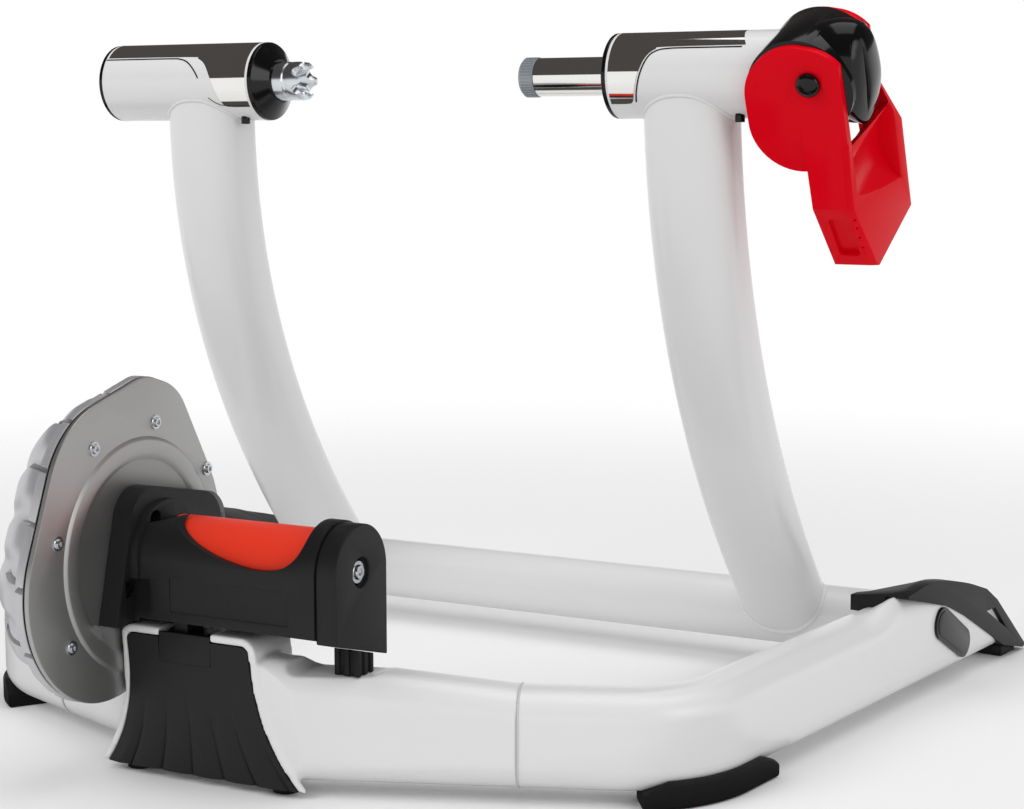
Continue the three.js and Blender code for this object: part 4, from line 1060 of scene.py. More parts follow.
def rib_tree(material: bpy.types.Material) -> Tree:
    """A tree that sets a small upright block on each point, facing outwards.

    Args:
        material: the ribs' material.

    Returns:
        The tree, with inputs Width, Length and Height in metres.
    """
    tree = Tree("ribs", {"Width": 0.001, "Length": 0.01, "Height": 0.001})
    length, width, height = (tree.start.outputs[k] for k in ("Length", "Width", "Height"))
    size = tree.node("ShaderNodeCombineXYZ", {"X": length, "Y": width, "Z": height})
    tree.close(tree.node("GeometryNodeMeshCube", {"Size": size}), material)
    return tree


def screws(
    name: str,
    places: Sequence[Vector],
    body: str,
    finish: Finish = ZINC,
    radius: float = 3.5,
    height: float = 2.4,
) -> None:
    """Sets socket screws on a body, all facing right.

    Args:
        name: the piece's name.
        places: where their heads' middles are, in mm.
        body: the body they ride on.
        finish: their finish.
        radius: a head's radius in mm.
        height: a head's height in mm.
    """
    right = [Vector((1, 0, 0))] * len(places)
    mesh = screw_tree(PAINT.material(finish)).run(
        points_mesh(places, right),
        Radius=radius * MM,
        Height=height * MM,
        Socket=radius * 0.5 * MM,
    )
    show(name, mesh, finish, body)


# Floor frame


@dataclass
class Rail:
    """The bent tube of the floor frame, drawn from stations along its middle."""

    width: float = 39.0
    bottom: float = 8.0
    top: float = 64.0
    corner: float = 15.0
    rise: float = 16.0
    seam: float = 152.0
    sweep: float = 21.16
    splay: float = 8.52
    reach: float = 257.0
    bend_forward: float = -144.0
    bend_radius: float = 65.0
    hump_start: float = 55.0
    hump_end: float = 98.0
    hump: float = 10.5

    @property
    def along(self) -> Vector:
        """The way the right leg runs, in plan."""
        a = math.radians(self.splay)
        return Vector((math.sin(a), math.cos(a), 0))

    @property
    def across(self) -> Vector:
        """The way out of the right leg's outer face."""
        return Vector((self.along.y, -self.along.x, 0))

    @property
    def bend_reach(self) -> float:
        """How far out the yoke's and the leg's middles meet."""
        return self.reach + self.bend_forward * self.along.x / self.along.y

    def ring(
        self, middle: Vector, across: Vector, rise: float, hump: float, grow: float = 0
    ) -> Ring:
        """One section of the rail.

        Args:
            middle: the section's place in plan.
            across: the way out of the rail.
            rise: how far its top is lifted all over.
            hump: how far its outer top is lifted.
            grow: how far it is grown all round.

        Returns:
            The section's points.
        """
        half = self.width / 2 + grow
        points = []
        level = (self.bottom + self.top) / 2
        outline = rounded_box(half, self.bottom - grow, self.top + grow, self.corner + grow)
        for u, z in outline:
            upper = max(0.0, (z - level) / (self.top - level))
            outer = clamped(u / half / 0.6 + 0.15)
            lifted = z + upper * (rise + outer * hump)
            points.append(Vector((middle.x + across.x * u, middle.y + across.y * u, lifted)))
        return points

    def yoke_ring(self, reach: float, grow: float = 0) -> Ring:
        """The section of the yoke at a distance from the middle plane.

        Args:
            reach: the distance, below zero on the left.
            grow: how far it is grown all round.

        Returns:
            The section's points.
        """
        slope = math.tan(math.radians(self.sweep))
        forward = self.bend_forward + (abs(reach) - self.bend_reach) * slope
        blend = min(1.0, abs(reach) / 30.0)
        angle = math.radians(self.sweep) * blend * (1 if reach >= 0 else -1)
        stretch = 1 / math.cos(math.radians(self.sweep) - abs(angle))
        across = Vector((math.sin(angle), -math.cos(angle), 0)) * stretch
        rise = self.rise * max(0.0, 1 - abs(reach) / self.seam)
        return self.ring(Vector((reach, forward, 0)), across, rise, 0, grow)

    def bend_rings(self, steps: int, grow: float = 0) -> list[Ring]:
        """The sections round the bend into the right leg."""
        return [self.ring(m, a, 0, 0, grow) for m, a in self.bend_places(0, 1, steps)]

    def bend_places(
        self, start: float, end: float, steps: int
    ) -> list[tuple[Vector, Vector]]:
        """Places and outward ways round the bend.

        Args:
            start: share of the bend to start at.
            end: share to end at.
            steps: number of steps.

        Returns:
            Pairs of place and outward way.
        """
        turn = math.radians(90 - self.splay - self.sweep)
        heading = math.radians(self.sweep)
        reach = self.bend_radius * math.tan(turn / 2)
        x = self.bend_reach - reach * math.cos(heading) - self.bend_radius * math.sin(heading)
        y = self.bend_forward - reach * math.sin(heading) + self.bend_radius * math.cos(heading)
        result = []
        for i in range(steps + 1):
            angle = heading + turn * (start + (end - start) * i / steps)
            out = Vector((math.sin(angle), -math.cos(angle), 0))
            result.append((Vector((x, y, 0)) + out * self.bend_radius, out))
        return result

    def leg_ring(self, place: float, grow: float = 0) -> Ring:
        """The section of the right leg at a place along it.

        Args:
            place: the place.
            grow: how far it is grown all round.

        Returns:
            The section's points.
        """
        t = clamped((place - self.hump_start) / (self.hump_end - self.hump_start))
        hump = self.hump * t * t * (3 - 2 * t)
        return self.ring(self.place(place, 0, 0), self.across, 0, hump, grow)

    def place(self, along: float, out: float, z: float) -> Vector:
        """A point by its place along the right leg, its way out and its height."""
        return Vector((self.reach, 0, z)) + self.along * along + self.across * out

    def across_leg(self, outline: Sequence[Pair], start: float, end: float) -> Mesh:
        """Extrudes an outline, in place along the leg and height, across the right leg."""
        return loft([[self.place(a, out, z) for a, z in outline] for out in (start, end)])


RAIL = Rail()


@dataclass
class FrontCap:
    """The moulded cap on each leg's front end, with the plug beside it.

    Points are a place along the leg and a height, and a dip's rows are a place and the
    heights of its outer and inner edge.
    """

    rear: float = 98.3
    rear_height: float = 74.6
    crown: tuple[Pair, ...] = ((98.3, 74.6), (138.4, 77.0), (185.0, 68.6), (224.4, 57.0))
    knee: Pair = (243.6, 46.0)
    tip: Pair = (297.2, 3.4)
    lip: Pair = (293.0, 1.8)
    slope: tuple[Pair, ...] = ((158.6, 58.5), (205.2, 38.0), (258.7, 10.0))
    skirt: tuple[Pair, ...] = (
        (98.3, 72.4), (127.9, 65.2), (158.6, 57.2), (187.9, 45.0), (205.2, 36.6),
    )
    cuff: tuple[Pair, ...] = ((98.3, 60.5), (158.0, 56.0), (158.0, 66.0), (98.3, 74.6))
    dip: tuple[Triple, ...] = (
        (90, 75.2, 70.6), (107, 75.6, 70.4), (125, 76.6, 67.6), (145, 76.8, 64.6),
        (162, 74.2, 60.2), (185, 69.2, 56.4), (205, 64.0, 55.4), (226, 57.4, 55.4),
    )
    dip_top: float = 95.0
    window: tuple[Pair, ...] = ((225.4, 41.0), (262.3, 21.6), (240.0, 41.0))
    proud: float = 1.0
    fit: float = 0.3
    plug_ends: tuple[Triple, ...] = ((152.0, 46.5, 11.0), (186.0, 27.0, 10.2))

    def leg_cutter(self, lift: float) -> Mesh:
        """What is taken off the leg's front end for the cap.

        Args:
            lift: how far the cut is raised.

        Returns:
            The cutter.
        """
        far, low, high = self.tip[0] + 8, -6, 84
        outline = [
            (self.rear - self.fit, self.rear_height - 0.5 + lift),
            *[(a + lift, b + lift) for a, b in self.slope],
            (self.slope[-1][0] + 8 + lift, low),
            (far, low),
            (far, high),
            (self.rear - self.fit, high),
        ]
        return RAIL.across_leg(outline, -40, 40)

    def mesh(self) -> Mesh:
        """The right cap.

        Returns:
            Its mesh.
        """
        half = RAIL.width / 2 + self.proud
        front = [self.slope[2], self.lip, self.tip, self.knee]
        crown = [tuple(p) for p in reversed(smooth_table(self.crown, 6))]
        profile = RAIL.across_leg([*self.skirt, *front, *crown], -half, half)
        body = joined(profile, RAIL.across_leg(self.cuff, -half, 4))
        inner, outer, top = -half - 2, half - 9, self.dip_top
        dip = [
            [
                RAIL.place(along, out, z)
                for out, z in ((outer, high), (inner, low), (inner, top), (outer, top))
            ]
            for along, high, low in self.dip
        ]
        leg = loft([RAIL.leg_ring(p, self.fit) for p in range(60, 280, 10)])
        seated = cut_away(leg, self.leg_cutter(self.fit))
        opening = RAIL.across_leg(self.window, -half - 6, half + 6)
        return edged(cut_away(body, loft(dip), seated, opening), 1.6, 3, 25)

    def plug(self, shrink: float, start: float, end: float) -> Mesh:
        """A long slanted plug on the leg's outer face over the pivot."""
        outline = hull_of_circles([(a, b, r - shrink) for a, b, r in self.plug_ends], 72)
        return RAIL.across_leg(outline, RAIL.width / 2 + start, RAIL.width / 2 + end)

    def inlay(self) -> Mesh:
        """The pale tube that shows in the cap's window.

        Returns:
            Its mesh.
        """
        grow, half = 1.3, RAIL.width / 2 - 2.4
        a0, b0 = (sum(p[i] for p in self.window) / 3 for i in (0, 1))
        outline = [(a0 + grow * (a - a0), b0 + grow * (b - b0)) for a, b in self.window]
        return RAIL.across_leg(outline, -half, half)

    def build(self) -> None:
        """Makes the caps and the pivot plugs of both sides."""
        plug = edged(joined(self.plug(0, -2.6, 1.9), self.plug(2.6, -5, 2.4)), 0.9, 4, 40)
        show_pair("front_cap_{}_moulded", self.mesh(), CHARCOAL, "base", "front_cap_{}")
        show_pair("pivot_plug_{}_moulded", plug, BLACK, "base", "pivot_plug_{}")
        show_pair("cap_window_{}", self.inlay(), WHITE, "base")


@dataclass
class Flare:
    """The flared rear end of the yoke and its cover."""

    centre: float = -28.0
    skew: float = 6.0
    rear: float = -243.0
    front: float = -205.0
    top: float = 89.0
    bottom: float = 4.5
    half: float = 46.8
    spread: float = 24.0
    power: float = 2.6
    corner: float = 9.0
    lean: float = 5.0
    wall: float = 3.0
    rim: float = 4.7
    folds: int = 6
    fold_depth: float = 2.3
    fold_top: float = 56.0
    thickness: float = 3.2
    shares: tuple[Pair, ...] = ((0, 1), (0.1, 0.98), (0.34, 0.6), (0.64, 0.3), (1, 0.12))

    def outline(self, spread: float, inset: float, low: float, flank: int = 24) -> list[Pair]:
        """The flare's section, turning left from its right foot.

        Args:
            spread: how far its feet stand out.
            inset: how far it is drawn in all round.
            low: the height it starts at.
            flank: steps up each flank.

        Returns:
            The outline.
        """
        half, corner, bend = self.half - inset, self.corner - inset, self.top - self.corner
        side = []
        for i in range(flank):
            z = low + (bend - low) * i / flank
            side.append((half + spread * ((bend - z) / (bend - self.bottom)) ** self.power, z))
        side += arc((half - corner, bend), corner, 0, 90, 8)
        return [*side, *[(-a, z) for a, z in reversed(side)]]

    def point(self, a: float, y: float, z: float) -> Vector:
        """A place on the flare, whose middle drifts to the right towards the floor."""
        return Vector((self.centre + self.skew * (1 - z / self.top) + a, y, z))

    def ring(self, y: float, spread: float, inset: float, lean: float, drop: float = 0.0) -> Ring:
        """One section of the flare at a place from back to front.

        Args:
            y: the place.
            spread: how far its feet stand out.
            inset: how far it is drawn in.
            lean: how far its foot stands before its top.
            drop: how far it goes on below.

        Returns:
            The section's points.
        """
        return [
            self.point(a, y + lean * (1 - z / self.top), z)
            for a, z in self.outline(spread, inset, self.bottom + inset - drop)
        ]

    def shell(self) -> Mesh:
        """The flare as a solid.

        Returns:
            The solid.
        """
        depth = self.front - self.rear
        rings = [
            self.ring(self.rear + depth * back, self.spread * spread, 0, self.lean * (1 - back))
            for back, spread in smooth_table(self.shares, 4)
        ]
        return loft(rings)

    def hollows(self) -> list[Mesh]:
        """The mouth for the cover, open below, and the hollow behind it.

        Returns:
            Both cutters.
        """
        back = self.rear + self.thickness + 0.6
        mouth = [
            self.ring(y, self.spread, self.rim, self.lean, self.bottom + self.rim + 6)
            for y in (self.rear - 6, back)
        ]
        hollow = [
            self.ring(back - 3, self.spread, self.rim, self.lean),
            self.ring(back, self.spread, self.rim, self.lean),
            self.ring(self.rear + 24, self.spread * 0.45, self.wall, self.lean),
        ]
        return [loft(mouth), loft(hollow)]

    def behind(self) -> Mesh:
        """What is taken off the yoke's apex behind the flare's leaning rim.

        Returns:
            The cutter.
        """
        def edge(z: float) -> float:
            """Where the rim's middle stands at a height."""
            return self.rear + self.wall / 2 + self.lean * (1 - z / self.top)

        low, high, far = -6.0, self.top + 6, self.rear - 39
        outline = [(far, low), (edge(low), low), (edge(high), high), (far, high)]
        return extruded(outline, Axis.X, self.centre - 2 * self.half, self.centre + 2 * self.half)

    def cover(self) -> Mesh:
        """The cover, a panel whose lower half hangs in folds that fan out with the flare.

        Returns:
            The panel.
        """
        columns = 150
        outline = self.outline(self.spread, self.rim + 0.3, self.bottom, 60)
        rings = []
        for half, z in outline[: len(outline) // 2]:
            face = self.rear + self.lean * (1 - z / self.top)
            row = []
            for i in range(columns + 1):
                t = 2 * i / columns - 1
                start = self.fold_top - 14 * t * t
                share = clamped((start - z) / (start - self.bottom))
                depth = self.fold_depth * share**1.1
                edge = min(1.0, (1 - abs(t)) * 7)
                wave = abs(math.sin((t + 0.08) * self.folds * 0.5 * math.pi)) ** 0.4
                row.append(self.point(t * half, face - depth * wave * edge, z))
            row.append(self.point(half, face + self.thickness, z))
            row.append(self.point(-half, face + self.thickness, z))
            rings.append(row)
        return loft(rings)


FLARE = Flare()


@dataclass
class FloorFrame:
    """The yoke, legs, pads and feet that stand on the floor."""

    hinge_middle: float = -29.0
    hinge_half: float = 17.5
    hinge_back: float = -231.0
    hinge_height: float = 78.0
    notch: Triple = (33.0, 86.0, 69.5)
    unit_gap: float = 5.0
    unit_recess: Pair = (-128.1, -73.3)

    def build(self) -> None:
        """Makes every piece of the floor frame."""
        self.legs()
        self.yoke()
        self.cover()
        self.pads()
        FrontCap().build()
        self.small_parts()

    def legs(self) -> None:
        """The bent legs and the thin grey bead round each seam to the yoke."""
        rings = [RAIL.yoke_ring(RAIL.seam + 0.15), RAIL.yoke_ring(RAIL.seam + 25)]
        rings += RAIL.bend_rings(28)
        rings += [RAIL.leg_ring(p) for p in range(-90, 272, 8)]
        leg = cut_away(loft(rings), FrontCap().leg_cutter(0))
        show_pair("leg_{}_painted", leg, WHITE, "base", "base_leg_{}", 30)
        bead = tube_along(RAIL.yoke_ring(RAIL.seam, 0.12), 0.55, 8, wrapped=True)
        show_pair("seam_line_{}", bead, SEAM, "base")

    def hinge_space(self, low: float, back: float) -> Mesh:
        """The slot in which the hinge sits.

        Args:
            low: the slot's floor.
            back: how far it reaches towards the front.

        Returns:
            The cutter.
        """
        half = self.hinge_half + 0.3
        start = (self.hinge_middle - half, FLARE.rear - 8, low)
        return box(start, (self.hinge_middle + half, back, FLARE.top + 6))

    def yoke(self) -> None:
        """The cast yoke with its flare, notch, hinge slot and the unit's recess."""
        reach = RAIL.seam - 0.15
        beam = loft([RAIL.yoke_ring(reach * i / 30) for i in range(-30, 31)])
        body = joined(cut_away(beam, FLARE.behind()), FLARE.shell())
        low, high, floor = self.notch
        middle = (low + high) / 2
        notch = extruded(
            [(a + middle, z) for a, z in rounded_box((high - low) / 2, floor, 104, 9)],
            Axis.Y,
            FLARE.rear - 6,
            -150,
        )
        recess = extruded(UNIT.plate_outline(-self.unit_gap), Axis.X, *self.unit_recess)
        hinge = self.hinge_space(self.hinge_height - 8, self.hinge_back + 8.4)
        body = cut_away(body, *FLARE.hollows(), hinge, notch, recess)
        smooth = cast(body, 1.15, 4)
        show("yoke_cast", smooth, WHITE, "base", ["base_yoke"], 60)

    def cover(self) -> None:
        """The dark cover in the flare's mouth and the guard behind the hinge."""
        slot = self.hinge_space(self.hinge_height - 8.3, FLARE.rear + 12)
        mesh = cut_away(FLARE.cover(), slot)
        show("rear_cover_moulded", mesh, CHARCOAL, "base", ["rear_cover"], 40)
        half = self.hinge_half + 0.2
        low = (self.hinge_middle - half, FLARE.rear + 0.5, 69.8)
        high = (self.hinge_middle + half, FLARE.rear + 2.5, 87.4)
        show("hinge_guard", edged(box(low, high), 0.6), CHARCOAL, "base")

    def pads(self) -> None:
        """The corner pads under the bends, with a thin tongue along the yoke."""
        places = RAIL.bend_places(0.2, 1, 20)
        start = RAIL.bend_forward + RAIL.bend_radius * 0.6
        for i in range(1, 9):
            places.append((RAIL.place(start + 32 * i / 8, 0, 0), RAIL.across))
        rings = []
        for i, (middle, out) in enumerate(places):
            end = min(i, len(places) - 1 - i) / 4
            size = 0.55 + 0.45 * min(1.0, end) ** 0.7
            height = 16 * size
            outer = RAIL.width / 2 + 2.2
            outline = [
                (-9 * size, 0),
                *arc((outer - 2.5, 2.5), 2.5, -90, 0, 4),
                *arc((outer - 2.0, height - 2.0), 2.0, 0, 90, 4),
                (-9 * size, height),
            ]
            rings.append([middle + out * u + Vector((0, 0, z)) for u, z in outline])
        legs = [RAIL.leg_ring(p, 0.3) for p in range(-90, 40, 8)]
        pad = cut_away(loft(rings), loft([*RAIL.bend_rings(28, 0.3), *legs]))
        show_pair("corner_pad_{}_moulded", pad, RUBBER, "base", "corner_pad_{}")

    def small_parts(self) -> None:
        """Feet, joiners, bolts and the hinge's fixed half."""
        for side in ("left", "right"):
            dress_node(f"front_foot_{side}", RUBBER, 0.8)
            dress_node(f"rear_foot_{side}", RUBBER, 0.8)
            dress_node(f"frame_joiner_{side}", STEEL, 0)
            dress_node(f"pivot_bolt_{side}", ZINC, 0.5)
        dress_node("hinge_bracket", CHARCOAL, 0.8)
        dress_node("hinge_pin", STEEL, 0.3)
        dress_node("tilt_spring", STEEL, 0)


# Uprights


@dataclass(frozen=True)
class TubeLine:
    """A thin line laid on a clamp tube.

    Each point of its path is a place in mm from the tube's start and a height in radii.
    """

    name: str
    width: float
    path: tuple[Pair, ...]


LEFT_LINES = (
    TubeLine("upper", 0.9, (
        (39.5, 0.08), (42, 0.22), (46, 0.38), (51, 0.51), (57, 0.575), (66, 0.593),
        (119.6, 0.593),
    )),
    TubeLine("lower", 0.5, ((33, -0.42), (28.5, -0.54), (23.5, -0.61), (12, -0.63), (2.4, -0.63))),
)
RIGHT_LINES = (
    TubeLine("upper", 0.9, (
        (18.4, -0.62), (22.7, 0), (27, 0.39), (32, 0.54), (39, 0.585), (50, 0.593), (86, 0.593),
    )),
)


@dataclass
class Uprights:
    """The two bent arms, the cross tube and the clamp tubes."""

    top_reach: float = 177.0
    foot_reach: float = 184.0
    width: float = 58.0
    depth: float = 46.0
    foot_depth: float = 41.0
    bend: float = 2.12
    squareness: float = 2.6
    pivot: Pair = (173.0, 36.5)
    cross_radius: float = 21.8
    cross_half: float = 256.5
    clamp_radius: float = 26.0
    clamp_wall: float = 2.5
    ring_width: float = 3.2
    right_inner: float = 128.0
    right_outer: float = 240.0
    left_inner: float = 127.0
    left_outer: float = 253.4
    sleeve_depth: float = 0.8
    rim_width: float = 1.9
    left_boss: float = 7.0
    right_sleeve: float = 88.0
    arm_bore: float = 14.6
    edge_shares: tuple[Pair, ...] = (
        (0, -0.66), (0.13, -0.66), (0.18, -0.62), (0.205, -0.42), (0.24, 0),
        (0.29, 0.4), (0.35, 0.58), (0.42, 0.63), (1, 0.64),
    )

    def centre(self, share: float) -> Vector:
        """The arm's middle at a share of its height from the axle down.

        Args:
            share: the share.

        Returns:
            The point.
        """
        x = self.top_reach + (self.foot_reach - self.top_reach) * share
        y = self.pivot[0] * max(0.0, share) ** self.bend
        return Vector((x, y, AXLE_HEIGHT + (self.pivot[1] - AXLE_HEIGHT) * share))

    def arm_ring(self, share: float, grow: float = 0, sides: int = 56) -> Ring:
        """One section of the arm, square to its path.

        Args:
            share: its share of the way down.
            grow: how far it is grown all round.
            sides: its number of points.

        Returns:
            The section's points.
        """
        low = max(0.0, share - 0.01)
        along = self.centre(low + 0.02) - self.centre(low)
        across = Vector((1, 0, 0))
        out = along.cross(across).normalized()
        half = self.width / 2 + grow
        deep = (self.depth + (self.foot_depth - self.depth) * share) / 2 + grow
        power = 2 / self.squareness
        points = []
        for c, s in circle((0, 0), 1, sides):
            u = half * math.copysign(abs(c) ** power, c)
            v = deep * math.copysign(abs(s) ** power, s)
            points.append(self.centre(share) + across * u + out * v)
        return points

    def build(self) -> None:
        """Makes every piece of the uprights."""
        self.arms()
        self.welds()
        self.cross_tube()
        self.clamp_tube("right", self.right_inner, self.right_outer, self.right_sleeve)
        length = self.left_outer - self.left_inner - 2 * self.ring_width
        self.clamp_tube("left", self.left_inner, self.left_outer - self.ring_width, length)
        self.end_rings()
        self.inner_parts()

    def arms(self) -> None:
        """The bent arms, bored for what slides in the clamp tubes."""
        steps, top = 60, 0.033
        rings = [self.arm_ring(top + (1.0 - top) * i / steps) for i in range(steps + 1)]
        arm = cut_away(loft(rings), rod(100, 260, self.arm_bore, AXLE))
        show_pair("arm_{}_painted", arm, WHITE, "uprights", "arm_{}", 50)

    def weld_path(self, line: Pair, radius: float, shares: Pair) -> list[Vector]:
        """Where the arm's skin meets a tube.

        Args:
            line: the tube's middle in Y and Z.
            radius: the tube's radius.
            shares: a share of the arm inside the tube and one outside it.

        Returns:
            A closed loop of points.
        """
        sides = 72
        path = []
        for i in range(sides):
            inside, outside = shares
            for _ in range(24):
                share = (inside + outside) / 2
                point = self.arm_ring(share, 0, sides)[i]
                if math.hypot(point.y - line[0], point.z - line[1]) < radius:
                    inside = share
                else:
                    outside = share
            path.append(point)
        return path

    def welds(self) -> None:
        """The weld beads at both ends of each arm."""
        foot = self.weld_path(self.pivot, self.cross_radius, (1.0, 0.8))
        head = self.weld_path(AXLE, self.clamp_radius, (0.0, 0.15))
        for name, path, radius in (("foot", foot, 1.9), ("head", head, 1.2)):
            bead = tube_along(path, radius, 12, wrapped=True)
            show_pair(f"weld_{name}_{{}}", bead, WHITE, "uprights")

    def cross_tube(self) -> None:
        """The tube across the front with its end bushes."""
        half, r = self.cross_half, self.cross_radius
        tube = softened_ring(-half, half, r - self.clamp_wall, r, 0.6, self.pivot)
        show("cross_tube_painted", tube, WHITE, "uprights", ["cross_tube"])
        for side in ("left", "right"):
            dress_node(f"pivot_bush_{side}", CHARCOAL, 0.4)

    def edge_curve(self, inner: float, length: float, inset: float = 0.0) -> list[Pair]:
        """The sleeve's lower edge as place and height.

        Args:
            inner: where the sleeve starts.
            length: its length.
            inset: how far the curve is moved up into the sleeve.

        Returns:
            Points from the inner end outwards.
        """
        curve = []
        for place, height in smooth_table(self.edge_shares, 8):
            curve.append((inner + length * place, self.clamp_radius * min(height, 0.66)))
        return beside(curve, inset)

    def region(self, inner: float, length: float, grow: float, slant: float = 0.0) -> Mesh:
        """The space over the sleeve's lower edge.

        Args:
            inner: where the sleeve starts.
            length: its length.
            grow: how far the space is grown.
            slant: how far its outer end leans inwards going up.

        Returns:
            The space as a solid.
        """
        edge = [(x, AXLE_HEIGHT + z) for x, z in self.edge_curve(inner, length, -grow)]
        edge[0] = (inner - grow - 1, edge[0][1])
        edge[-1] = (inner + length + grow, edge[-1][1])
        top = AXLE_HEIGHT + self.clamp_radius + 6
        outline = [*edge, (inner + length + grow - slant, top), (inner - grow - 1, top)]
        return extruded(outline, Axis.Y, -self.clamp_radius - 6, self.clamp_radius + 6)

    def clamp_tube(self, side: str, inner: float, outer: float, length: float) -> None:
        """One clamp tube with its bright sleeve and the lines along the sleeve's edge.

        Args:
            side: right or left.
            inner: the inner end of the tube and its ring.
            outer: the outer end of the tube.
            length: the sleeve's length.
        """
        start, r = inner + self.ring_width, self.clamp_radius
        end, deep = start + length, self.sleeve_depth
        slant = 9.0 if side == "right" else 0.0
        tube = ring(start, outer, r - self.clamp_wall, r, AXLE, 160)
        skin = ring(start - 1, end + 1, r - deep - 0.05, r + 1, AXLE, 160)
        tube = cut_away(tube, combined(skin, self.region(start, length, 0.12, slant), Cut.COMMON))
        sleeve = ring(start + 0.1, end, r - deep, r + 0.12, AXLE, 160)
        sleeve = combined(sleeve, self.region(start, length, 0, slant), Cut.COMMON)
        turn, lines = (flipped, LEFT_LINES) if side == "left" else ((lambda m: m), RIGHT_LINES)
        for name, ending, mesh, finish in (
            ("clamp_tube", "painted", tube, WHITE),
            ("bright_sleeve", "polished", sleeve, CHROME),
        ):
            node = f"{name}_{side}"
            show(f"{node}_{ending}", turn(mesh), finish, "uprights", [node], 40)
        for mark in lines:
            show(f"{mark.name}_line_{side}", turn(self.tube_line(start, mark)), BLACK, "uprights")

    def tube_line(self, start: float, mark: TubeLine) -> Mesh:
        """A thin line laid on both flanks of a clamp tube.

        Args:
            start: where the tube starts.
            mark: the line's width and path.

        Returns:
            The line as one mesh.
        """
        radius = self.clamp_radius
        path = [(start + x, radius * math.asin(h)) for x, h in smooth_table(mark.path, 8)]
        edges = list(zip(beside(path, -mark.width / 2), beside(path, mark.width / 2)))
        points: list[Vector] = []
        faces: list[tuple[int, ...]] = []
        for flank in (-1, 1):
            base = len(points)
            for pair in edges:
                for x, s in pair:
                    for r in (radius - 0.3, radius + 0.2):
                        angle = s / radius
                        y = flank * r * math.cos(angle)
                        points.append(Vector((x, y, AXLE_HEIGHT + r * math.sin(angle))))
            for i in range(len(edges) - 1):
                p, q = base + 4 * i, base + 4 * i + 4
                for j, k in ((0, 1), (1, 3), (3, 2), (2, 0)):
                    faces.append((p + j, p + k, q + k, q + j))
            end = base + 4 * (len(edges) - 1)
            faces += [(base, base + 2, base + 3, base + 1), (end, end + 1, end + 3, end + 2)]
        return mesh_of(points, faces)

    def end_rings(self) -> None:
        """The dark end rings, each with a pale rim behind it."""
        radius, inner, outer, gap = self.clamp_radius, self.left_inner, self.left_outer, 0.2
        width = self.ring_width - gap
        bore_right, bore_left, bore_cap = 12.3, 13.1, 8.6
        start = self.right_inner
        right = softened_ring(start, start + width, bore_right, radius, 1.0, AXLE)
        boss = [
            (-self.left_boss, bore_left),
            (-self.left_boss, bore_left + 1.4),
            (-self.left_boss + 0.8, bore_left + 2.4),
            (-1.2, radius - 2.6), (0, radius - 1.2), (0.4, radius - 0.4),
            (1.2, radius), (width, radius), (width, bore_left),
        ]
        left = turned([(inner + x, r) for x, r in boss], AXLE)
        cap = softened_ring(outer - width, outer, bore_cap, radius, 1.0, AXLE)
        for name, mesh in (
            ("end_ring_right", right),
            ("end_ring_left", flipped(left)),
            ("end_cap_left", flipped(cap)),
        ):
            show(f"{name}_moulded", mesh, BLACK, "uprights", [name])
        behind = self.ring_width - gap / 2
        for name, place, turn in (
            ("right", start + behind, lambda m: m),
            ("left", inner + behind, flipped),
            ("outer", outer - behind - self.rim_width, flipped),
        ):
            end = place + self.rim_width
            rim = softened_ring(place, end, radius - 1, radius + 0.15, 0.3, AXLE)
            show(f"pale_rim_{name}", turn(rim), WHITE, "uprights")

    def inner_parts(self) -> None:
        """The nut, guide and spring inside the tubes, and the plugs under them."""
        dress_node("screw_nut", ZINC, 0.4)
        dress_node("rod_guide", STEEL, 0.4)
        dress_node("rod_spring", STEEL, 0)
        low = AXLE_HEIGHT - self.clamp_radius
        for name, place in (("left", -143.0), ("right", 212.0)):
            plug = extruded(circle((place, -9.0), 3.0, 24), Axis.Z, low - 2.4, low + 3)
            show(f"tube_plug_{name}", edged(plug, 0.5), BLACK, "uprights")


# Clamps


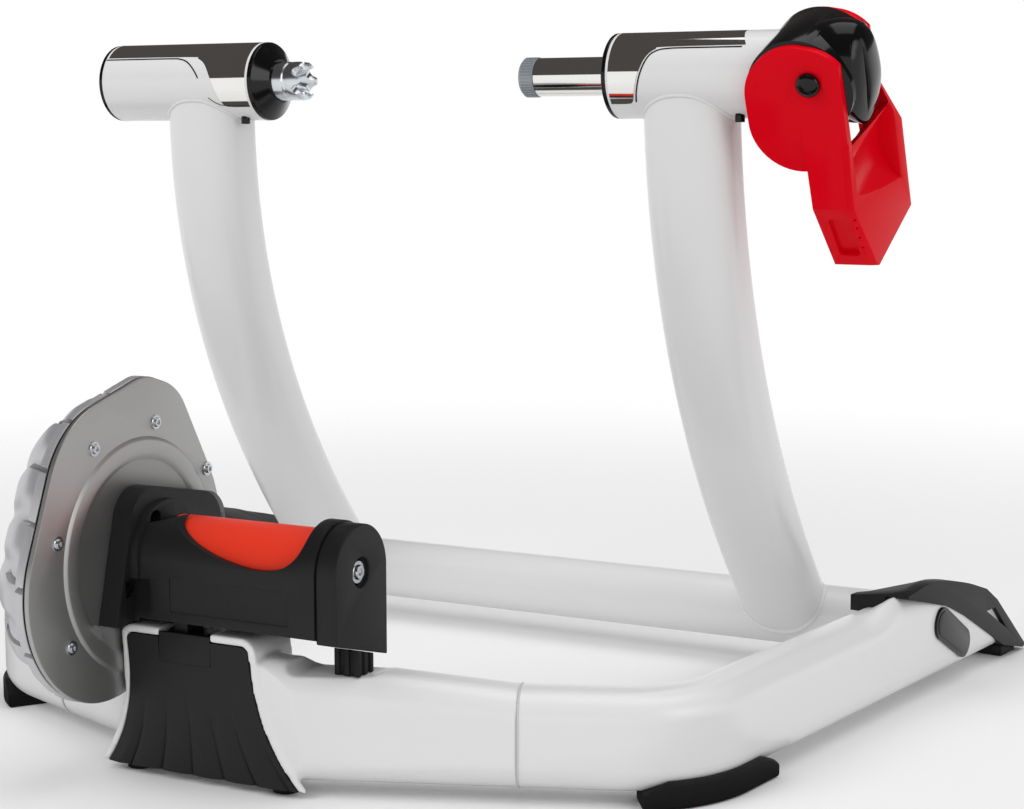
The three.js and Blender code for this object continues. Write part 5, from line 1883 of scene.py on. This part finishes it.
@dataclass
class Clamps:
    """The left cup with its screw and the right push rod."""

    cup_reach: float = 98.6
    cup_radius: float = 12.8
    cup_length: float = 46.0
    mouth_radius: float = 10.0
    mouth_depth: float = 11.0
    scallop: float = 4.2
    teeth: int = 6
    tip_reach: float = 64.5
    tip_length: float = 10.5
    rod_radius: float = 12.0
    rod_end: float = 240.7
    knurls: int = 40

    def build(self) -> None:
        """Makes both jaws."""
        self.cup()
        self.rod()
        dress_node("left_screw", STEEL, 0.4)

    def cup(self) -> None:
        """The zinc cup with its toothed mouth."""
        r, mouth, deep = self.cup_radius, -self.cup_reach, self.mouth_depth
        profile = [
            (-self.cup_length, 0), (-self.cup_length, r), (-13.4, r), (-12.8, r - 0.9),
            (-10.4, r - 0.9), (-9.8, r), (-1.6, r), (0, r - 1.2), (0, self.mouth_radius),
            (-deep, self.mouth_radius * 0.45), (-deep, 0),
        ]
        body = turned([(mouth + x, radius) for x, radius in profile], AXLE)
        middle = Vector((mouth, 0, AXLE_HEIGHT))
        for i in range(self.teeth):
            angle = (i + 0.5) * math.tau / self.teeth
            out = Vector((0, math.cos(angle), math.sin(angle)))
            side = Vector((0, -math.sin(angle), math.cos(angle)))
            rings = [
                [
                    middle + out * d + side * a + Vector((b * 1.35, 0, 0))
                    for a, b in circle((0, 0), self.scallop, 40)
                ]
                for d in (3.0, r + 6)
            ]
            body = cut_away(body, loft(rings))
        show("left_cup_plated", edged(body, 0.35, 2, 35), ZINC, "left_cup", ["left_cup"], 40)

    def rod(self) -> None:
        """The bright rod with its knurled tip."""
        reach, r, length = self.tip_reach, self.rod_radius, self.tip_length
        start, end = reach + length, self.rod_end
        bar = [
            (start - 0.5, 0), (start - 0.5, 10.5), (start + 0.2, r), (end - 15, r),
            (end - 15, 16), (end - 9, 16), (end - 9, 9), (end, 9), (end, 0),
        ]
        show("push_rod_polished", turned(bar, AXLE), CHROME, "push_rod", ["push_rod"], 40)
        tip = [
            (reach + 7, 0), (reach + 7, 3.6), (reach, 9), (reach, 11), (reach + 1.2, r),
            (start - 0.4, r), (start - 0.4, 0),
        ]
        show("rod_tip_body", turned(tip, AXLE), TIP, "push_rod", ["rod_tip"], 40)
        rib, size = length - 2.6, 0.9 * MM
        middle = Vector((reach + 1.4 + rib / 2, 0, AXLE_HEIGHT))
        ways = [Vector((0, c, s)) for c, s in circle((0, 0), 1, self.knurls)]
        points = points_mesh([middle + way * r for way in ways], ways)
        tree = rib_tree(PAINT.material(TIP))
        ribs = tree.run(points, Width=size, Length=rib * MM, Height=size)
        show("rod_tip_knurl", ribs, TIP, "push_rod")


# Lever


@dataclass
class LeverHead:
    """The black head on the right tube, the red lever and the cam, about one pin."""

    pin: Triple = (262.0, -2.767, 409.435)
    tilt: float = 25.0
    tube_line: float = -6.548
    tube_radius: float = 26.0
    lobe_radius: float = 31.0
    ridge: float = 19.0
    throat: float = 45.0
    cheek: float = 5.0
    inner: float = 26.5
    wide_drop: float = 87.0
    twist: float = 0.18
    shear: float = 0.447
    thumb_place: float = 51.3
    thumb_drop: float = 54.0
    thumb_radius: float = 34.0
    pin_radius: float = 4.0
    hole_heights: tuple[float, ...] = (15.0, 8.0, 0.0, -9.0)
    lobes: tuple[Triple, ...] = ((-0.29, -0.065, 1), (-0.29, -0.565, 1), (-0.13, -0.03, 0.935))
    levels: tuple[tuple[float, ...], ...] = (
        (-2.0, 0, -8.0, 19.0, 31.5, 0),
        (29.0, 1, -2.3, 24.3, 34.75, 3.25),
        (87.0, 1, 0.6, 24.3, 37.0, 1.0),
        (125.4, 1, -1.3, 24.0, 4.0, -12.0),
    )
    head_shares: tuple[tuple[float, ...], ...] = (
        (-0.3, 1.12, -1, 1), (0.05, 1.22, -1, 1), (0.42, 1.26, -1.03, 0.99),
        (0.78, 1.2, -1.22, 0.92), (0.95, 1.08, -1.02, 0.76), (1.05, 0.95, -0.7, 0.55),
        (1.11, 0.6, -0.23, 0.28),
    )
    drum: tuple[Triple, ...] = ((-9.0, -6.4, 31.0), (-3.5, -7.0, 27.5))
    tongue_rows: tuple[Triple, ...] = (
        (1.12, 0.86, 5.0), (0.96, 1.0, 8.0), (0.7, 1.09, 9.8), (0.3, 1.14, 10.8),
        (-0.1, 1.15, 11.0), (-0.45, 1.1, 10.4), (-0.75, 1.01, 8.6), (-1.0, 0.88, 6.0),
        (-1.18, 0.72, 2.6),
    )

    @property
    def outer(self) -> float:
        """Half the lever's width over its cheeks."""
        return self.inner + self.cheek

    def settled(self, mesh: Mesh) -> Mesh:
        """Moves a mesh drawn about the pin to its tilted place on the tube.

        Args:
            mesh: the mesh, which is changed.

        Returns:
            The same mesh.
        """
        turn = Matrix.Rotation(math.radians(self.tilt), 4, "X")
        mesh.transform(Matrix.Translation(Vector(in_frame(self.pin))) @ turn @ TO_SOURCE)
        return mesh

    def build(self) -> None:
        """Makes the head, the lever and what turns them."""
        self.head()
        self.tongue()
        self.lever()
        self.pin_caps()
        dress_node("cam", STEEL, 0.3)
        dress_node("lever_pin", STEEL, 0.4)

    def head(self) -> None:
        """The glossy head."""
        r = self.tube_radius
        rings = [self.head_ring(-21.7, r, -r, r, 0)]
        for place, top, bottom, half in smooth_table(self.head_shares, 6):
            rings.append(
                self.head_ring(place * r, top * r, bottom * r, half * r, max(0.0, place) * 0.45)
            )
        drum = hull_of_circles(self.drum, 200)
        drum = extruded(drum, Axis.Y, -self.inner + 0.5, self.inner - 0.5)
        spigot = rod(-42.0, 0, 23.2, (0.0, self.tube_line))
        bore = rod(-48.0, 0, 16.6, (0.0, self.tube_line))
        wide = 7.5
        slot = extruded(circle((0, 0), 22, 64), Axis.Y, -wide, wide)
        mouth = box((-22, -wide, self.tube_line - r - 12), (13, wide, 0))
        body = cut_away(joined(loft(rings), drum, spigot), bore, slot, mouth)
        mesh = self.settled(edged(body, 0.5, 2, 45))
        show("lever_head_moulded", mesh, BLACK, "uprights", ["lever_head"], 40)
        section = self.head_ring(0.86 * r, 1.16 * r, -r, 0.86 * r, 0)
        seam = sorted((p for p in section if p.z > self.tube_line + 10), key=lambda p: p.y)
        bead = self.settled(tube_along(seam, 0.45, 8))
        show("head_seam", bead, BLACK, "uprights")

    def head_ring(
        self, place: float, top: float, bottom: float, half: float, taper: float
    ) -> Ring:
        """One section of the head.

        Args:
            place: its place along the tube.
            top: its height over the tube's line.
            bottom: its depth under it, below zero.
            half: half its width.
            taper: how much narrower it gets below, as a share.

        Returns:
            The section's points.
        """
        points = []
        for c, s in circle((0, 0), 1, 96):
            height = top if s > 0 else -bottom
            narrow = 1 - taper * s * s if s < 0 else 1
            points.append(Vector((place, half * c * narrow, self.tube_line + height * s)))
        return points

    def tongue(self) -> None:
        """The smooth leaf that hangs down the head's front."""
        r = self.tube_radius
        rings = []
        for height, front, half in smooth_table(self.tongue_rows, 6):
            place, z = front * r + 1.1, self.tube_line + height * r
            ring_points = []
            for c, s in circle((0, 0), 1, 48):
                deep = 2.0 if s > 0 else 9.0
                ring_points.append(Vector((place - 2.0 + deep * s, half * c, z)))
            rings.append(ring_points)
        mesh = self.settled(loft(rings))
        show("head_tongue", mesh, BLACK, "uprights", (), 60)

    def handle_ring(self, level: Sequence[float], inset: float, web: float) -> Ring:
        """One section of the handle, grown inwards for its channel.

        Args:
            level: a row of levels.
            inset: how far its sides are drawn in.
            web: how far its front is drawn in.

        Returns:
            The section's points.
        """
        drop, share, back, outer, half, shift = level
        wide, out, edge = half - inset, outer - web, self.cheek * 0.6
        start = back - (6 if inset else 0)
        corners = [
            (start, -wide), (out - edge, -wide), (out, -wide + edge),
            (out, wide - edge), (out - edge, wide), (start, wide),
        ]
        points = []
        for x, across in corners:
            y = across + shift
            z = self.tube_line - drop - self.shear * y
            points.append(Vector((x + share * self.twist * y, y, z)))
        return points

    def thumb(self, grow: float) -> Mesh:
        """The round hollow for the thumb in the handle's front.

        Args:
            grow: how far it is grown all round.

        Returns:
            The cutter.
        """
        middle = (self.thumb_place, self.tube_line - self.thumb_drop)
        outline = circle(middle, self.thumb_radius + grow, 160)
        return extruded(outline, Axis.Y, -self.inner - grow, self.inner + grow)

    def pocket(self) -> list[Mesh]:
        """The recess and the row of small holes in the near face of the handle's end.

        Returns:
            The cutters.
        """
        drop, _, back, _, half, shift = self.levels[2]
        end_drop, _, _, outer, end_half, end_shift = self.levels[3]
        y0, y1 = shift - half, end_shift - end_half
        z0, z1 = -drop - self.shear * y0, -end_drop - self.shear * y1
        x = (back + outer) / 2 + self.twist * (y0 + y1) / 2
        place = Vector((x, (y0 + y1) / 2, self.tube_line + (z0 + z1) / 2))
        turn = Matrix.Rotation(math.atan2(y1 - y0, z0 - z1), 4, "X")
        tools = [extruded(rounded_box(6.5, -17.0, 17.0, 3.0), Axis.Y, -3.5, 3.5)]
        for height in self.hole_heights:
            tools.append(extruded(circle((9.4, height), 0.8, 16), Axis.Y, -2.5, 2.5))
        for tool in tools:
            tool.transform(TO_SOURCE)
            tool.transform(Matrix.Translation(Vector(in_frame(place))) @ turn)
        return tools

    def lever(self) -> None:
        """The red lever with its two cheeks, channel and scooped throat."""
        r, inner = self.lobe_radius, self.inner
        lobes = [(a * r, self.tube_line + b * r, c * r) for a, b, c in self.lobes]
        cheeks = extruded(hull_of_circles(lobes, 160), Axis.Y, -self.outer, self.outer)
        beyond = box((self.ridge, -100, -93), (93, 100, 93))
        handle = loft([self.handle_ring(level, 0, 0) for level in self.levels])
        closing = (self.wide_drop - self.cheek, *self.levels[2][1:])
        channel = loft(
            [
                self.handle_ring(level, self.cheek, self.cheek)
                for level in (*self.levels[:2], closing)
            ]
        )
        channel = cut_away(channel, self.thumb(self.cheek))
        throat = extruded(circle((0, 0), self.throat, 160), Axis.Y, -inner, inner)
        low = self.tube_line - self.wide_drop + self.cheek
        between = box((-93, -inner, low), (0, inner, 62))
        bore = extruded(circle((0, 0), self.pin_radius + 0.3, 32), Axis.Y, -40, 40)
        body = joined(cut_away(cheeks, beyond), handle)
        body = cut_away(body, channel, self.thumb(0), throat, between, *self.pocket(), bore)
        show("lever_moulded", self.settled(edged(body, 1.0, 3, 24)), RED, "lever", ["lever"], 30)

    def pin_caps(self) -> None:
        """The domed caps on the pin's ends."""
        reach, r, base, dome = self.outer + 0.6, 7.2, 1.2, 3.4
        profile = [
            (reach, 0),
            (reach, r),
            (reach + base, r),
            *[
                (reach + base + dome * math.sin(a), r * math.cos(a))
                for a in (0.25, 0.5, 0.75, 1.0, 1.25)
            ],
            (reach + base + dome, 0),
        ]
        for name, sign in (("near", -1), ("far", 1)):
            cap = turned(profile, (0.0, 0.0), 64)
            cap.transform(Matrix.Rotation(sign * math.pi / 2, 4, "Z") @ TO_SOURCE)
            cap.transform(TO_FRAME)
            node = f"pin_cap_{name}"
            show(f"{node}_moulded", self.settled(cap), BLACK, "uprights", [node], 50)


# Resistance unit


@dataclass
class Unit:
    """The roller cradle, the plate and the finned fluid housing."""

    back: float = -217.6
    height: float = 128.4
    roller_radius: float = 22.25
    roller_half: float = 48.0
    barrel: float = 28.0
    bore: float = 24.0
    barrel_right: float = 61.0
    plate_face: float = -75.0
    plate_thickness: float = 3.0
    emboss: float = 69.5
    housing_depth: float = 43.0
    fins: int = 16
    slope: float = 0.288
    drop: float = 50.2
    bracket: float = 27.0
    flange_face: float = -61.3
    flange_size: float = 33.0
    screw_places: tuple[Pair, ...] = ((-229.9, 149.5), (-246.6, 110.0))
    hole_depth: float = 1.4
    recess_depth: float = 3.5
    hinge: Pair = (-231.0, 78.0)
    knuckle: float = 7.7
    hinge_bore: float = 4.3
    band_rise: float = 1.3
    plate_screws: tuple[Pair, ...] = (
        (-203.8, 200.8), (-260.4, 192.5), (-293.5, 144.1), (-284.3, 83.3), (-154.1, 166.1),
    )
    plate_shares: tuple[Triple, ...] = (
        (0, 0, 1.115), (-0.48, -0.22, 0.985), (-0.35, 0.45, 0.86),
        (0.08, 1.1, 0.345), (0.2, 0.91, 0.49),
    )
    flange_shares: tuple[Triple, ...] = (
        (-0.255, 0.564, 0.606), (1.715, 0.17, 0.59), (-0.89, -1.22, 0.424), (1.59, -1.22, 0.424),
    )
    flange_front: tuple[Triple, ...] = (
        (-0.255, 0.564, 0.606), (1.16, 0.26, 0.606), (-0.89, -1.22, 0.424), (1.2, -1.22, 0.424),
    )
    housing_shares: tuple[Pair, ...] = (
        (0.16, 0.955), (0.38, 0.945), (0.6, 0.87), (0.8, 0.76), (0.94, 0.64), (1, 0.5),
    )

    @property
    def axis(self) -> Pair:
        """The roller's line in Y and Z."""
        return (self.back, self.height)

    @property
    def housing_face(self) -> float:
        """Where the housing starts behind the plate and its gasket."""
        return self.plate_face - self.plate_thickness - 1.4

    @property
    def housing_middle(self) -> Pair:
        """The middle that the housing's fins stand round, in Y and Z."""
        return (self.back - self.emboss * 0.19, self.height + self.emboss * 0.02)

    def circles(self, shares: Sequence, size: float, grow: float = 0) -> list[Triple]:
        """Turns a table of shares into circles in mm."""
        back, height = self.back, self.height
        return [(back + a * size, height + b * size, r * size + grow) for a, b, r in shares]

    def plate_outline(self, inset: float, steps: int = 200) -> list[Pair]:
        """The plate's outline, drawn in by a distance."""
        return hull_of_circles(self.circles(self.plate_shares, self.emboss, -inset - 0.35), steps)

    def underside(self, y: float) -> float:
        """The height of the unit's sloping underside."""
        return self.height - self.drop + (self.back + self.barrel - y) * self.slope

    def arch(self, radius: float, lower: float = 0.0, steps: int = 64) -> list[Pair]:
        """An outline round on top and cut off on the slope below.

        Args:
            radius: the round's radius.
            lower: how far the slope is let down.
            steps: steps round the top.

        Returns:
            The outline.
        """
        back, front = self.back - radius, self.back + radius
        return [
            *arc(self.axis, radius, 0, 180, steps),
            (back, self.underside(back) - lower),
            (front, self.underside(front) - lower),
        ]

    def build(self) -> None:
        """Makes every piece of the unit."""
        self.plate()
        self.housing()
        self.cradle()
        self.end_bracket()
        self.roller()
        self.fasteners()

    def plate(self) -> None:
        """The satin plate with a raised band round the roller's line, and its gasket."""
        face, rise = self.plate_face, self.band_rise
        rings = [
            sections(evened(self.plate_outline(inset), 240), face + place)
            for place, inset in ((-3.0, 0.5), (-2.6, 0), (-0.9, 0), (-0.25, 0.35), (0.0, 1.1))
        ]
        band = [
            (-1, 55.4), (0, 55.4), (rise * 0.25, 56.2), (rise * 0.85, 58.4), (rise, 59.6),
            (rise, 66.6), (rise * 0.85, 67.4), (rise * 0.25, 68.6), (0, 69.2), (-1, 69.2),
        ]
        middle = (self.back - 2.5, self.height - 3.5)
        raised = turned([(face + x, r) for x, r in band], middle, 200)
        mesh = joined(loft(rings), combined(raised, self.plate_core(), Cut.COMMON))
        show("unit_plate_pressed", mesh, PLATE, "unit", ["unit_plate"], 28)
        shape = evened(self.plate_outline(0.8), 200)
        gasket = extruded(shape, Axis.X, self.housing_face, face - self.plate_thickness)
        show("plate_gasket_cut", gasket, RUBBER, "unit", ["plate_gasket"])

    def plate_core(self) -> Mesh:
        """The space over the plate inside its edge."""
        return extruded(self.plate_outline(2.4), Axis.X, self.plate_face - 2, self.plate_face + 4)

    def housing_ring(
        self, depth: float, size: float, lump: float = 0.0, points: int = 288
    ) -> Ring:
        """One section of the fluid housing.

        Args:
            depth: its share of the housing's depth.
            size: its share of the plate's outline.
            lump: how far it is drawn in at each fin slot, as a share.
            points: how many points it has.

        Returns:
            The section.
        """
        cy, cz = self.housing_middle
        x = self.housing_face - self.housing_depth * depth
        ring_points = []
        for y, z in evened(self.plate_outline(0), points):
            dip = abs(math.cos(self.fins / 2 * math.atan2(z - cz, y - cy) + 0.4)) ** 5
            share = size * (1 - lump * dip)
            ring_points.append(Vector((x, cy + (y - cy) * share, cz + (z - cz) * share)))
        return ring_points

    def housing(self) -> None:
        """The finned fluid housing with its flange."""
        flange = [
            self.housing_ring(d, s)
            for d, s in ((0, 0.995), (0.01, 1), (0.12, 1), (0.135, 0.99), (0.137, 0.962))
        ]
        dome = [
            self.housing_ring(d, s, 0.045 * min(1.0, (d - 0.16) / 0.2))
            for d, s in smooth_table(self.housing_shares, 6)
        ]
        end = [self.housing_ring(1.0, s) for s in (0.46, 0.3, 0.12)]
        body = loft([*flange, *dome, *end])
        slotted = cut_away(body, *[self.fin_slot(i) for i in range(self.fins)])
        mesh = edged(slotted, 0.5, 2, 50)
        show("fluid_housing_cast", mesh, ALLOY, "unit", ["fluid_housing"], 40)

    def fin_slot(self, i: int) -> Mesh:
        """A leaning slot between two fins on the housing's shoulder.

        Args:
            i: the slot's number.

        Returns:
            The cutter.
        """
        cy, cz = self.housing_middle
        depth, length, width = self.housing_depth, 30.0, 3.0
        corners = [
            (a * depth / 2, b + length / 2, c * width / 2)
            for a in (-1, 1)
            for b in (-length / 2, length / 2)
            for c in (-1, 1)
        ]
        turn = (
            Matrix.Translation((self.housing_face - depth * 0.28, cy, cz))
            @ Matrix.Rotation(math.tau * i / self.fins, 4, "X")
            @ Matrix.Rotation(-0.42, 4, "Z")
            @ Matrix.Translation((-depth * 0.5, self.emboss, 0))
            @ Matrix.Rotation(math.radians(28), 4, "X")
        )
        faces = [
            (0, 1, 3, 2), (4, 6, 7, 5), (0, 4, 5, 1), (2, 3, 7, 6), (0, 2, 6, 4), (1, 5, 7, 3),
        ]
        return mesh_of([turn @ Vector(c) for c in corners], faces)

    def scoop(self) -> Mesh:
        """What is cut from the barrel so that the tyre reaches the roller.

        Returns:
            The cutter.
        """
        lowest, depth, top, shoulder = 22.0, 23.0, 152.5, 148.0
        lip = []
        for i in range(65):
            t = -math.cos(math.pi * i / 64)
            half, power = (60.0, 1.5) if t < 0 else (30.0, 2.5)
            lip.append((lowest + half * t, top - depth * (1 - abs(t) ** power) ** (1 / power)))
        above = self.height + self.barrel + 6
        left = self.flange_face + 5
        outline = [(left, shoulder), *lip, (52, above), (left, above)]
        return extruded(outline, Axis.Y, self.back - 56, self.back + 56)

    def cradle(self) -> None:
        """The grained cradle: flange, shoulder, barrel and hinge knuckle."""
        face, back = self.flange_face, self.back
        flange = loft(
            [
                sections(hull_of_circles(self.circles(shares, self.flange_size), 160), x)
                for x, shares in (
                    (self.plate_face + 0.3, self.flange_shares),
                    (self.plate_face + 4.0, self.flange_shares),
                    (face, self.flange_front),
                )
            ]
        )
        shoulder = extruded(self.arch(self.barrel + 2.4), Axis.X, face - 3, face + 5)
        barrel = extruded(self.arch(self.barrel), Axis.X, face - 3, self.barrel_right)
        over_shell = box((-81, -300, 0), (24.8, back + 99, 91))
        body = cut_away(joined(flange, shoulder, barrel), over_shell)
        knuckle, top = self.knuckle, self.underside(self.hinge[0]) + 6
        neck = [
            *arc(self.hinge, knuckle, 180, 360, 20),
            (self.hinge[0] + knuckle, top),
            (self.hinge[0] - knuckle, top),
        ]
        body = joined(body, extruded(neck, Axis.X, -38, -29))
        (upper, lower) = self.screw_places
        cutters = [
            rod(face + 12, self.barrel_right + 6, self.bore, self.axis),
            self.scoop(),
            rod(-44, -23, self.hinge_bore, self.hinge, 32),
            rod(face - self.hole_depth, face + 12, 4.8, upper, 40),
            self.screw_recess(lower),
            self.front_panel(),
            box((face + 5, back + 6, 145.5), (52, back + 60, 190)),
        ]
        mesh = edged(cut_away(body, *cutters), 0.9, 3, 30)
        show("roller_cradle_moulded", mesh, CHARCOAL, "unit", ["roller_cradle"])

    def screw_recess(self, place: Pair) -> Mesh:
        """The upright recess round the flange's lower screw.

        Args:
            place: the screw's place in Y and Z.

        Returns:
            The cutter.
        """
        outline = [(place[0] + a, place[1] + b) for a, b in rounded_box(5.8, -24.0, 7.6, 2.5)]
        face = self.flange_face
        return extruded(outline, Axis.X, face - self.recess_depth, face + 12)

    def front_panel(self) -> Mesh:
        """The shallow panel in the barrel's front."""
        y = self.back - self.barrel
        return box((-36.0, y - 6, 100.0), (44.0, y + 0.5, 120.0))

    def end_bracket(self) -> None:
        """The bracket at the roller's free end with the axle in its recess."""
        start, end = self.barrel_right + 0.3, self.barrel_right + 13.3
        body = extruded(self.arch(self.bracket, 2.0), Axis.X, start, end)
        recess = rod(end - 3.2, end + 6, 8.5, self.axis, 64)
        bore = rod(start - 2, end + 2, 6.6, self.axis, 48)
        mesh = edged(cut_away(body, recess, bore), 1.8, 4, 40)
        show("end_bracket_moulded", mesh, CHARCOAL, "unit", ["end_bracket"])
        dress_node("rest_buffer", RUBBER, 0.4)

    def roller(self) -> None:
        """The roller with its shaft, bearings and impeller."""
        half, r = self.roller_half, self.roller_radius
        sleeve = softened_ring(-half, half, r - 5, r, 1.2, self.axis)
        show("roller_sleeve_moulded", sleeve, ELASTOMER, "roller", ["roller_sleeve"], 40)
        dress_node("roller_core", ALLOY, 0.4)
        dress_node("roller_shaft", STEEL, 0.4)
        dress_node("impeller", STEEL, 0)
        dress_node("bearing_left", STEEL, 0.4)
        dress_node("bearing_right", STEEL, 0.4)

    def fasteners(self) -> None:
        """The screws of the plate, the cradle's flange and the axle's end."""
        places = [Vector((self.plate_face + 0.2, y, z)) for y, z in self.plate_screws]
        screws("plate_screws", places, "unit", radius=3.1, height=2.2)
        (upper, lower) = self.screw_places
        face = self.flange_face
        places = [
            Vector((face - self.hole_depth, *upper)),
            Vector((face - self.recess_depth, *lower)),
        ]
        screws("flange_screws", places, "unit", BLACK, 3.4, 2.2)
        end = Vector((self.barrel_right + 10.4, *self.axis))
        screws("axle_screw", [end], "roller", radius=4.6, height=2.2)


UNIT = Unit()


# Camera and light


@dataclass
class Studio:
    """A pale floor, soft light and the photograph's own camera."""

    camera_place: Triple = (657.2, -1158.6, 366.4)
    lens: float = 71.783
    azimuth: float = 27.483
    pitch: float = 7.463
    surround: float = 0.55
    fade: Pair = (0.5, 1.6)
    card_tone: Triple = (0.075, 0.068, 0.064)

    def build(self) -> None:
        """Sets the scene up."""
        bpy.context.scene.view_settings.view_transform = "Standard"
        self.camera()
        self.floor()
        self.hood()
        self.world()
        self.lamp("key", (-1.4, -2.2, 2.2), 1.6, 30, 30, mirrored=False)
        self.lamp("top", (0.5, 0.2, 3.0), 2.4, 24, 0)
        self.lamp("side", (2.4, -0.8, 1.1), 1.2, 8, 0)

    def camera(self) -> None:
        """The camera at the photograph's viewing angle."""
        data = bpy.data.cameras.new("view")
        data.lens = self.lens
        data.sensor_width = 36.0
        data.clip_start, data.clip_end = 0.05, 50.0
        camera = bpy.data.objects.new("view", data)
        camera.location = in_frame(self.camera_place)
        camera.rotation_euler = (math.radians(90 - self.pitch), 0, math.radians(self.azimuth))
        bpy.context.scene.collection.objects.link(camera)
        bpy.context.scene.camera = camera

    @staticmethod
    def seen(tree: NodeTree) -> Socket:
        """How much a ray is a camera, mirror or glass ray, from zero to one.

        Args:
            tree: the tree that asks.

        Returns:
            The share.
        """
        path = add_node(tree, "ShaderNodeLightPath")
        total = path.outputs["Is Camera Ray"]
        for label in ("Is Glossy Ray", "Is Transmission Ray"):
            both = {0: total, 1: path.outputs[label]}
            total = add_node(tree, "ShaderNodeMath", both, operation="MAXIMUM").outputs["Value"]
        return total

    def world(self) -> None:
        """Soft light from all round, white where it is seen."""
        world = bpy.data.worlds.new("surround")
        bpy.context.scene.world = world
        world.use_nodes = True
        tree = world.node_tree
        tree.nodes.clear()
        soft, white = (
            add_node(tree, "ShaderNodeBackground", {"Color": (1, 1, 1, 1), "Strength": power})
            for power in (self.surround, 1.0)
        )
        inputs = {0: self.seen(tree), 1: soft.outputs[0], 2: white.outputs[0]}
        mix = add_node(tree, "ShaderNodeMixShader", inputs)
        add_node(tree, "ShaderNodeOutputWorld", {"Surface": mix.outputs[0]})

    def floor(self) -> None:
        """A pale floor that keeps the object's shadow and fades out round it."""
        size = 6.0
        floor = self.sheet("floor", [(x, y, 0) for y in (-size, size) for x in (-size, size)])
        material = bpy.data.materials.new("pale_floor")
        material.use_nodes = True
        tree = material.node_tree
        shader = tree.nodes["Principled BSDF"]
        tone = {"Base Color": (0.93, 0.93, 0.93, 1), "Roughness": 0.7, "Specular IOR Level": 0.0}
        fill(tree, shader, tone)
        point = add_node(tree, "ShaderNodeTexCoord").outputs["Object"]
        reach = add_node(tree, "ShaderNodeVectorMath", {0: point}, operation="LENGTH")
        near, far = self.fade
        span = {"Value": reach.outputs["Value"], "From Min": near, "From Max": far}
        fade = add_node(tree, "ShaderNodeMapRange", span, interpolation_type="SMOOTHSTEP")
        clear = add_node(tree, "ShaderNodeBsdfTransparent")
        inputs = {0: fade.outputs["Result"], 1: shader.outputs[0], 2: clear.outputs[0]}
        mix = add_node(tree, "ShaderNodeMixShader", inputs)
        fill(tree, tree.nodes["Material Output"], {"Surface": mix.outputs[0]})
        floor.data.materials.append(material)

    @staticmethod
    def sheet(name: str, points: Sequence[Triple]) -> bpy.types.Object:
        """A strip of four-sided faces of the studio, in metres.

        Args:
            name: its name.
            points: its points, in pairs along the strip.

        Returns:
            The sheet.
        """
        faces = [(i, i + 1, i + 3, i + 2) for i in range(0, len(points) - 2, 2)]
        mesh = bpy.data.meshes.new(name)
        mesh.from_pydata(list(points), [], faces)
        thing = bpy.data.objects.new(name, mesh)
        bpy.context.scene.collection.objects.link(thing)
        return thing

    def hood(self) -> None:
        """Dark cards over the trainer and under its clamps, for polished parts to mirror."""
        material = bpy.data.materials.new("dark_card")
        material.use_nodes = True
        tree = material.node_tree
        tree.nodes.clear()
        glow = add_node(tree, "ShaderNodeEmission", {"Color": (*self.card_tone, 1)})
        add_node(tree, "ShaderNodeOutputMaterial", {"Surface": glow.outputs[0]})
        over = []
        for y, z in arc((0.0, 0.3), 4.0, 168, 12, 39):
            over += [(-7.0, y, z), (7.0, y, z)]
        under = [(x, y, 0.001) for y in (-0.23, -0.02) for x in (-1.2, 1.2)]
        for name, points in (("hood", over), ("floor_card", under)):
            card = self.sheet(name, points)
            card.data.materials.append(material)
            for ray in ("camera", "diffuse", "shadow", "transmission"):
                setattr(card, f"visible_{ray}", False)

    @staticmethod
    def lamp(
        name: str, place: Triple, size: float, power: float, turn: float, mirrored: bool = True
    ) -> None:
        """A soft lamp that faces the trainer.

        Args:
            name: its name.
            place: where it stands, in metres.
            size: its width in metres.
            power: its power in watts.
            turn: how far it is turned about its own line, in degrees.
            mirrored: whether polished surfaces mirror it.
        """
        data = bpy.data.lights.new(name, "AREA")
        data.size = size
        data.energy = power
        lamp = bpy.data.objects.new(name, data)
        lamp.location = place
        aim = Vector((0, 0, 0.2)) - Vector(place)
        lamp.rotation_euler = aim.to_track_quat("-Z", "Y").to_euler()
        lamp.rotation_euler.rotate_axis("Z", math.radians(turn))
        lamp.visible_glossy = mirrored
        bpy.context.scene.collection.objects.link(lamp)


def corners(pair: tuple[Vector, Vector]) -> list[list[float]]:
    """A box's two corners as plain lists."""
    return [[float(v) for v in corner] for corner in pair]


def main() -> None:
    """Builds the studio and the trainer."""
    Studio().build()
    for part in (FloorFrame(), Uprights(), Clamps(), LeverHead(), UNIT):
        log.info("building %s", type(part).__name__)
        part.build()


if __name__ == "__main__":
    main()
